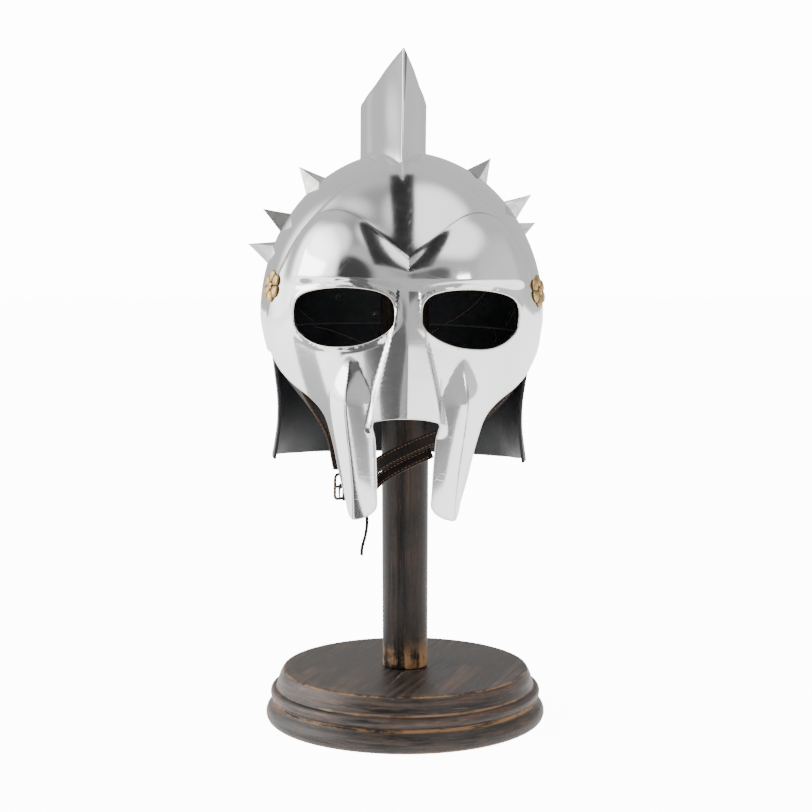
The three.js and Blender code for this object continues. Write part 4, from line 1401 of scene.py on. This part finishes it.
def make_base():
    r = BASE_RADIUS
    runs = [
        [(8, 0.0), (60, 0.0), (r - 5.5, 0.0)],
        [(r - 5.5, 0.0), (r - 3.6, 0.5), (r - 1.3, 2.4), (r - 0.2, 5.2), (r - 0.3, 8.4), (r - 1.9, 12.0),
         (r - 4.6, 14.8), (r - 6.2, 16.6)],
        [(r - 6.2, 16.6), (r - 7.4, 17.4), (r - 7.5, 18.3)],
        [(r - 7.5, 18.3), (r - 5.4, 19.2), (r - 4.1, 21.3), (r - 3.9, 23.6), (r - 4.7, 25.8),
         (r - 6.5, 27.3)],
        [(r - 6.5, 27.3), (r - 8.6, 27.5), (r - 9.0, 28.6)],
        [(r - 9.0, 28.6), (r - 10.0, 32.0), (r - 11.4, 36.4), (r - 13.2, 39.9)],
        [(r - 13.2, 39.9), (r - 14.1, 41.3), (r - 15.8, 41.9), (r - 17.5, BASE_HEIGHT)],
        [(r - 17.5, BASE_HEIGHT), (60, BASE_HEIGHT), (19, BASE_HEIGHT)],
        [(19, BASE_HEIGHT), (15, 41.95), (8, 41.9)],
    ]
    profile = refined(runs, [0.8] * len(runs))
    radius, height = profile.T
    wear = np.zeros(len(profile))
    for at, reach, strength in ((17.0, 0.8, 1.0), (28.2, 0.5, 0.9), (41.4, 0.4, 0.6), (1.2, 0.8, 0.4)):
        wear = np.maximum(wear, strength * np.exp(-(((height - at) / reach) ** 2)) * (radius > 90))
    verts, faces, worn = lathe(profile, wear, 180, 0.12)
    add_piece("stand_base_dress", verts, faces, base_wood, ["stand_base"],
              attributes={"wear": worn}, helmet=False, sharp=45)


def make_post():
    rim = EQUATOR + DOME_RISE - SHEET - INSIDE_GAP - 3.0
    runs = [
        [(0.6, 42.2), (9, 42.2), (16.4, 42.2)],
        [(16.4, 42.2), (17.6, 42.9), (POST_FOOT, 44.4)],
        [(POST_FOOT, 44.4), (POST_MIDDLE, 200), (POST_TOP, rim - 1.2)],
        [(POST_TOP, rim - 1.2), (19.0, rim + 0.2), (17.8, rim + 0.6), (9, rim + 2.2), (0.6, rim + 2.95)],
    ]
    profile = refined(runs, (3, 0.5, 4, 2))
    height = profile[:, 1]
    wear = 0.9 * np.exp(-((np.maximum(0, height - 43) / 17) ** 2))
    verts, faces, worn = lathe(profile, wear, 96, 0.35)
    add_piece("stand_post_dress", verts, faces, post_wood, ["stand_post"],
              attributes={"wear": worn}, helmet=False, sharp=45)


def make_scratch():
    """A thin curved scratch in the top of the base."""
    line = even_line([(-14, -61), (-8, -42), (-2, -24), (3.5, -20), (9, -18), (13, -15)], count=40)
    side = unit(np.gradient(line, axis=0))[:, ::-1] * (-1, 1)
    wide = 0.45 * np.sin(math.pi * np.linspace(0.04, 0.97, 41))[:, None] ** 0.6
    flat = np.stack([line - side * wide, line + side * wide], axis=1)
    verts = np.concatenate([flat, np.full((*flat.shape[:2], 1), BASE_HEIGHT + 0.06)], axis=2)
    add_piece("base_scratch", verts.reshape(-1, 3), grid_faces(41, 2), scratch_wood, helmet=False)


make_base()
make_post()
make_scratch()


# Studio

MATT = 0.9
FLOOR_GREY = 0.93
FLOOR_REACH = 6


def stage_plane(name, corners, grey, seen=False):
    """One matt plane of the studio, hidden from the camera unless seen."""
    mesh = bpy.data.meshes.new(name)
    mesh.from_pydata([tuple(corner) for corner in corners], [], [[0, 1, 2, 3]])
    obj = bpy.data.objects.new(name, mesh)
    bpy.context.collection.objects.link(obj)
    made = bpy.data.materials.new(name)
    made.use_nodes = True
    shader = made.node_tree.nodes["Principled BSDF"]
    shader.inputs["Base Color"].default_value = (grey, grey, grey, 1)
    shader.inputs["Roughness"].default_value = MATT
    shader.inputs["Specular IOR Level"].default_value = 0.1
    mesh.materials.append(made)
    obj.visible_camera = seen
    return obj


def area_light(name, place, aim, size, power):
    data = bpy.data.lights.new(name, "AREA")
    data.shape = "RECTANGLE"
    data.size, data.size_y = size
    data.energy = power
    lamp = bpy.data.objects.new(name, data)
    bpy.context.collection.objects.link(lamp)
    lamp.location = place
    lamp.rotation_mode = "QUATERNION"
    lamp.rotation_quaternion = (Vector(aim) - Vector(place)).to_track_quat("-Z", "Y")
    lamp.visible_camera = False


# Soft lights and dark areas round the helmet: azimuth from the front with the right side
# positive, height, half angles where it is full and where it ends, and strength.

SOFT_LIGHTS = [
    (-96, 16, 26, 46, 2.9),
    (-80, 50, 10, 26, 1.4),
    (52, 68, 18, 32, 1.5),
    (88, 4, 20, 50, 0.3),
]
DARK_AREAS = [
    (-31, 24, 17, 24, 0.1),
    (11, 30, 5, 9, 0.2),
    (-62, 74, 10, 26, 0.62),
]
BACK_GREY, FRONT_GREY = 0.76, 0.66
ROOM_SEEN = 14
FLOOR_LIGHT, FLOOR_SEEN = 1.5, 12.0

# Planes that only the steel sees: greyness and corners, on the floor, upright or overhead

LOW = 0.002
FLAGS = {
    "flag_overhead": (0.008, [(-0.34, -2.4, 2.2), (0.27, -2.4, 2.2), (0.20, 0.66, 2.2), (-0.16, 0.66, 2.2)]),
    "flag_behind": (0.1, [(-1.3, -2.0, 0.0), (-0.5, -2.0, 0.0), (-0.5, -2.0, 0.9), (-1.3, -2.0, 0.9)]),
    "flag_front": (0.38, [(-0.5, -2.0, 0.0), (0.26, -2.0, 0.0), (0.26, -2.0, 0.7), (-0.5, -2.0, 0.7)]),
    "flag_low_left": (0.1, [(-1.9, -1.5, LOW), (-0.5, -2.0, LOW), (-0.07, -0.36, LOW), (-0.56, -0.44, LOW)]),
    "flag_low_front": (0.38, [(-0.34, -2.0, LOW), (0.26, -2.0, LOW), (0.1, -1.0, LOW), (-0.16, -1.0, LOW)]),
    "flag_low_side": (0.42, [(-1.5, -0.42, LOW), (-0.33, -0.2, LOW), (-0.33, 0.05, LOW), (-1.5, 0.16, LOW)]),
}


def direction(azimuth, height):
    a, h = math.radians(azimuth), math.radians(height)
    return math.sin(a) * math.cos(h), -math.cos(a) * math.cos(h), math.sin(h)


def light_room():
    """A grey room with soft bright and dark areas, seen as white where the camera looks past."""
    world = bpy.data.worlds.new("studio")
    bpy.context.scene.world = world
    world.use_nodes = True
    room = Nodes(world.node_tree)
    ways = room.node("ShaderNodeTexCoord").outputs["Generated"]

    def area(azimuth, height, full, end):
        dot = room.node("ShaderNodeVectorMath", operation="DOT_PRODUCT")
        room.put(dot.inputs[0], ways)
        room.put(dot.inputs[1], direction(azimuth, height))
        outer, inner = math.cos(math.radians(end)), math.cos(math.radians(full))
        return room.span(dot.outputs["Value"], outer, inner, kind="SMOOTHSTEP")

    split = room.node("ShaderNodeSeparateXYZ")
    room.put(split.inputs[0], ways)
    strength = room.span(split.outputs["Y"], -0.8, 0.6, FRONT_GREY, BACK_GREY)
    for *place, share in DARK_AREAS:
        kept = room.maths("SUBTRACT", 1, room.times(area(*place), 1 - share))
        strength = room.times(strength, kept)
    for *place, power in SOFT_LIGHTS:
        strength = room.maths("ADD", strength, room.times(area(*place), power))
    rays = room.node("ShaderNodeLightPath")
    choose = room.node("ShaderNodeMix")
    room.put(choose.inputs[0], rays.outputs["Is Camera Ray"])
    room.put(choose.inputs[2], strength)
    room.put(choose.inputs[3], ROOM_SEEN)
    background = room.tree.nodes["Background"]
    background.inputs["Color"].default_value = (1, 1, 1, 1)
    room.put(background.inputs["Strength"], choose.outputs[0])


def make_floor():
    corners = [(x * FLOOR_REACH, y * FLOOR_REACH, 0) for x, y in ((-1, -1), (1, -1), (1, 1), (-1, 1))]
    floor = stage_plane("floor", corners, FLOOR_GREY, seen=True)
    nodes = Nodes(floor.data.materials[0].node_tree)
    rays = nodes.node("ShaderNodeLightPath")
    glow = nodes.span(rays.outputs["Is Camera Ray"], 0.0, 1.0, FLOOR_LIGHT, FLOOR_SEEN)
    shader = nodes.tree.nodes["Principled BSDF"]
    shader.inputs["Emission Color"].default_value = (1, 1, 1, 1)
    nodes.put(shader.inputs["Emission Strength"], glow)


def make_studio():
    make_floor()
    light_room()
    for name, (grey, corners) in FLAGS.items():
        stage_plane(name, corners, grey)
    area_light("softbox_left", (-2.3, -0.15, 1.0), (0, 0, 0.3), (1.7, 1.3), 30)
    area_light("softbox_right", (1.05, -1.7, 1.08), (0, 0, 0.3), (0.5, 0.42), 5)


make_studio()
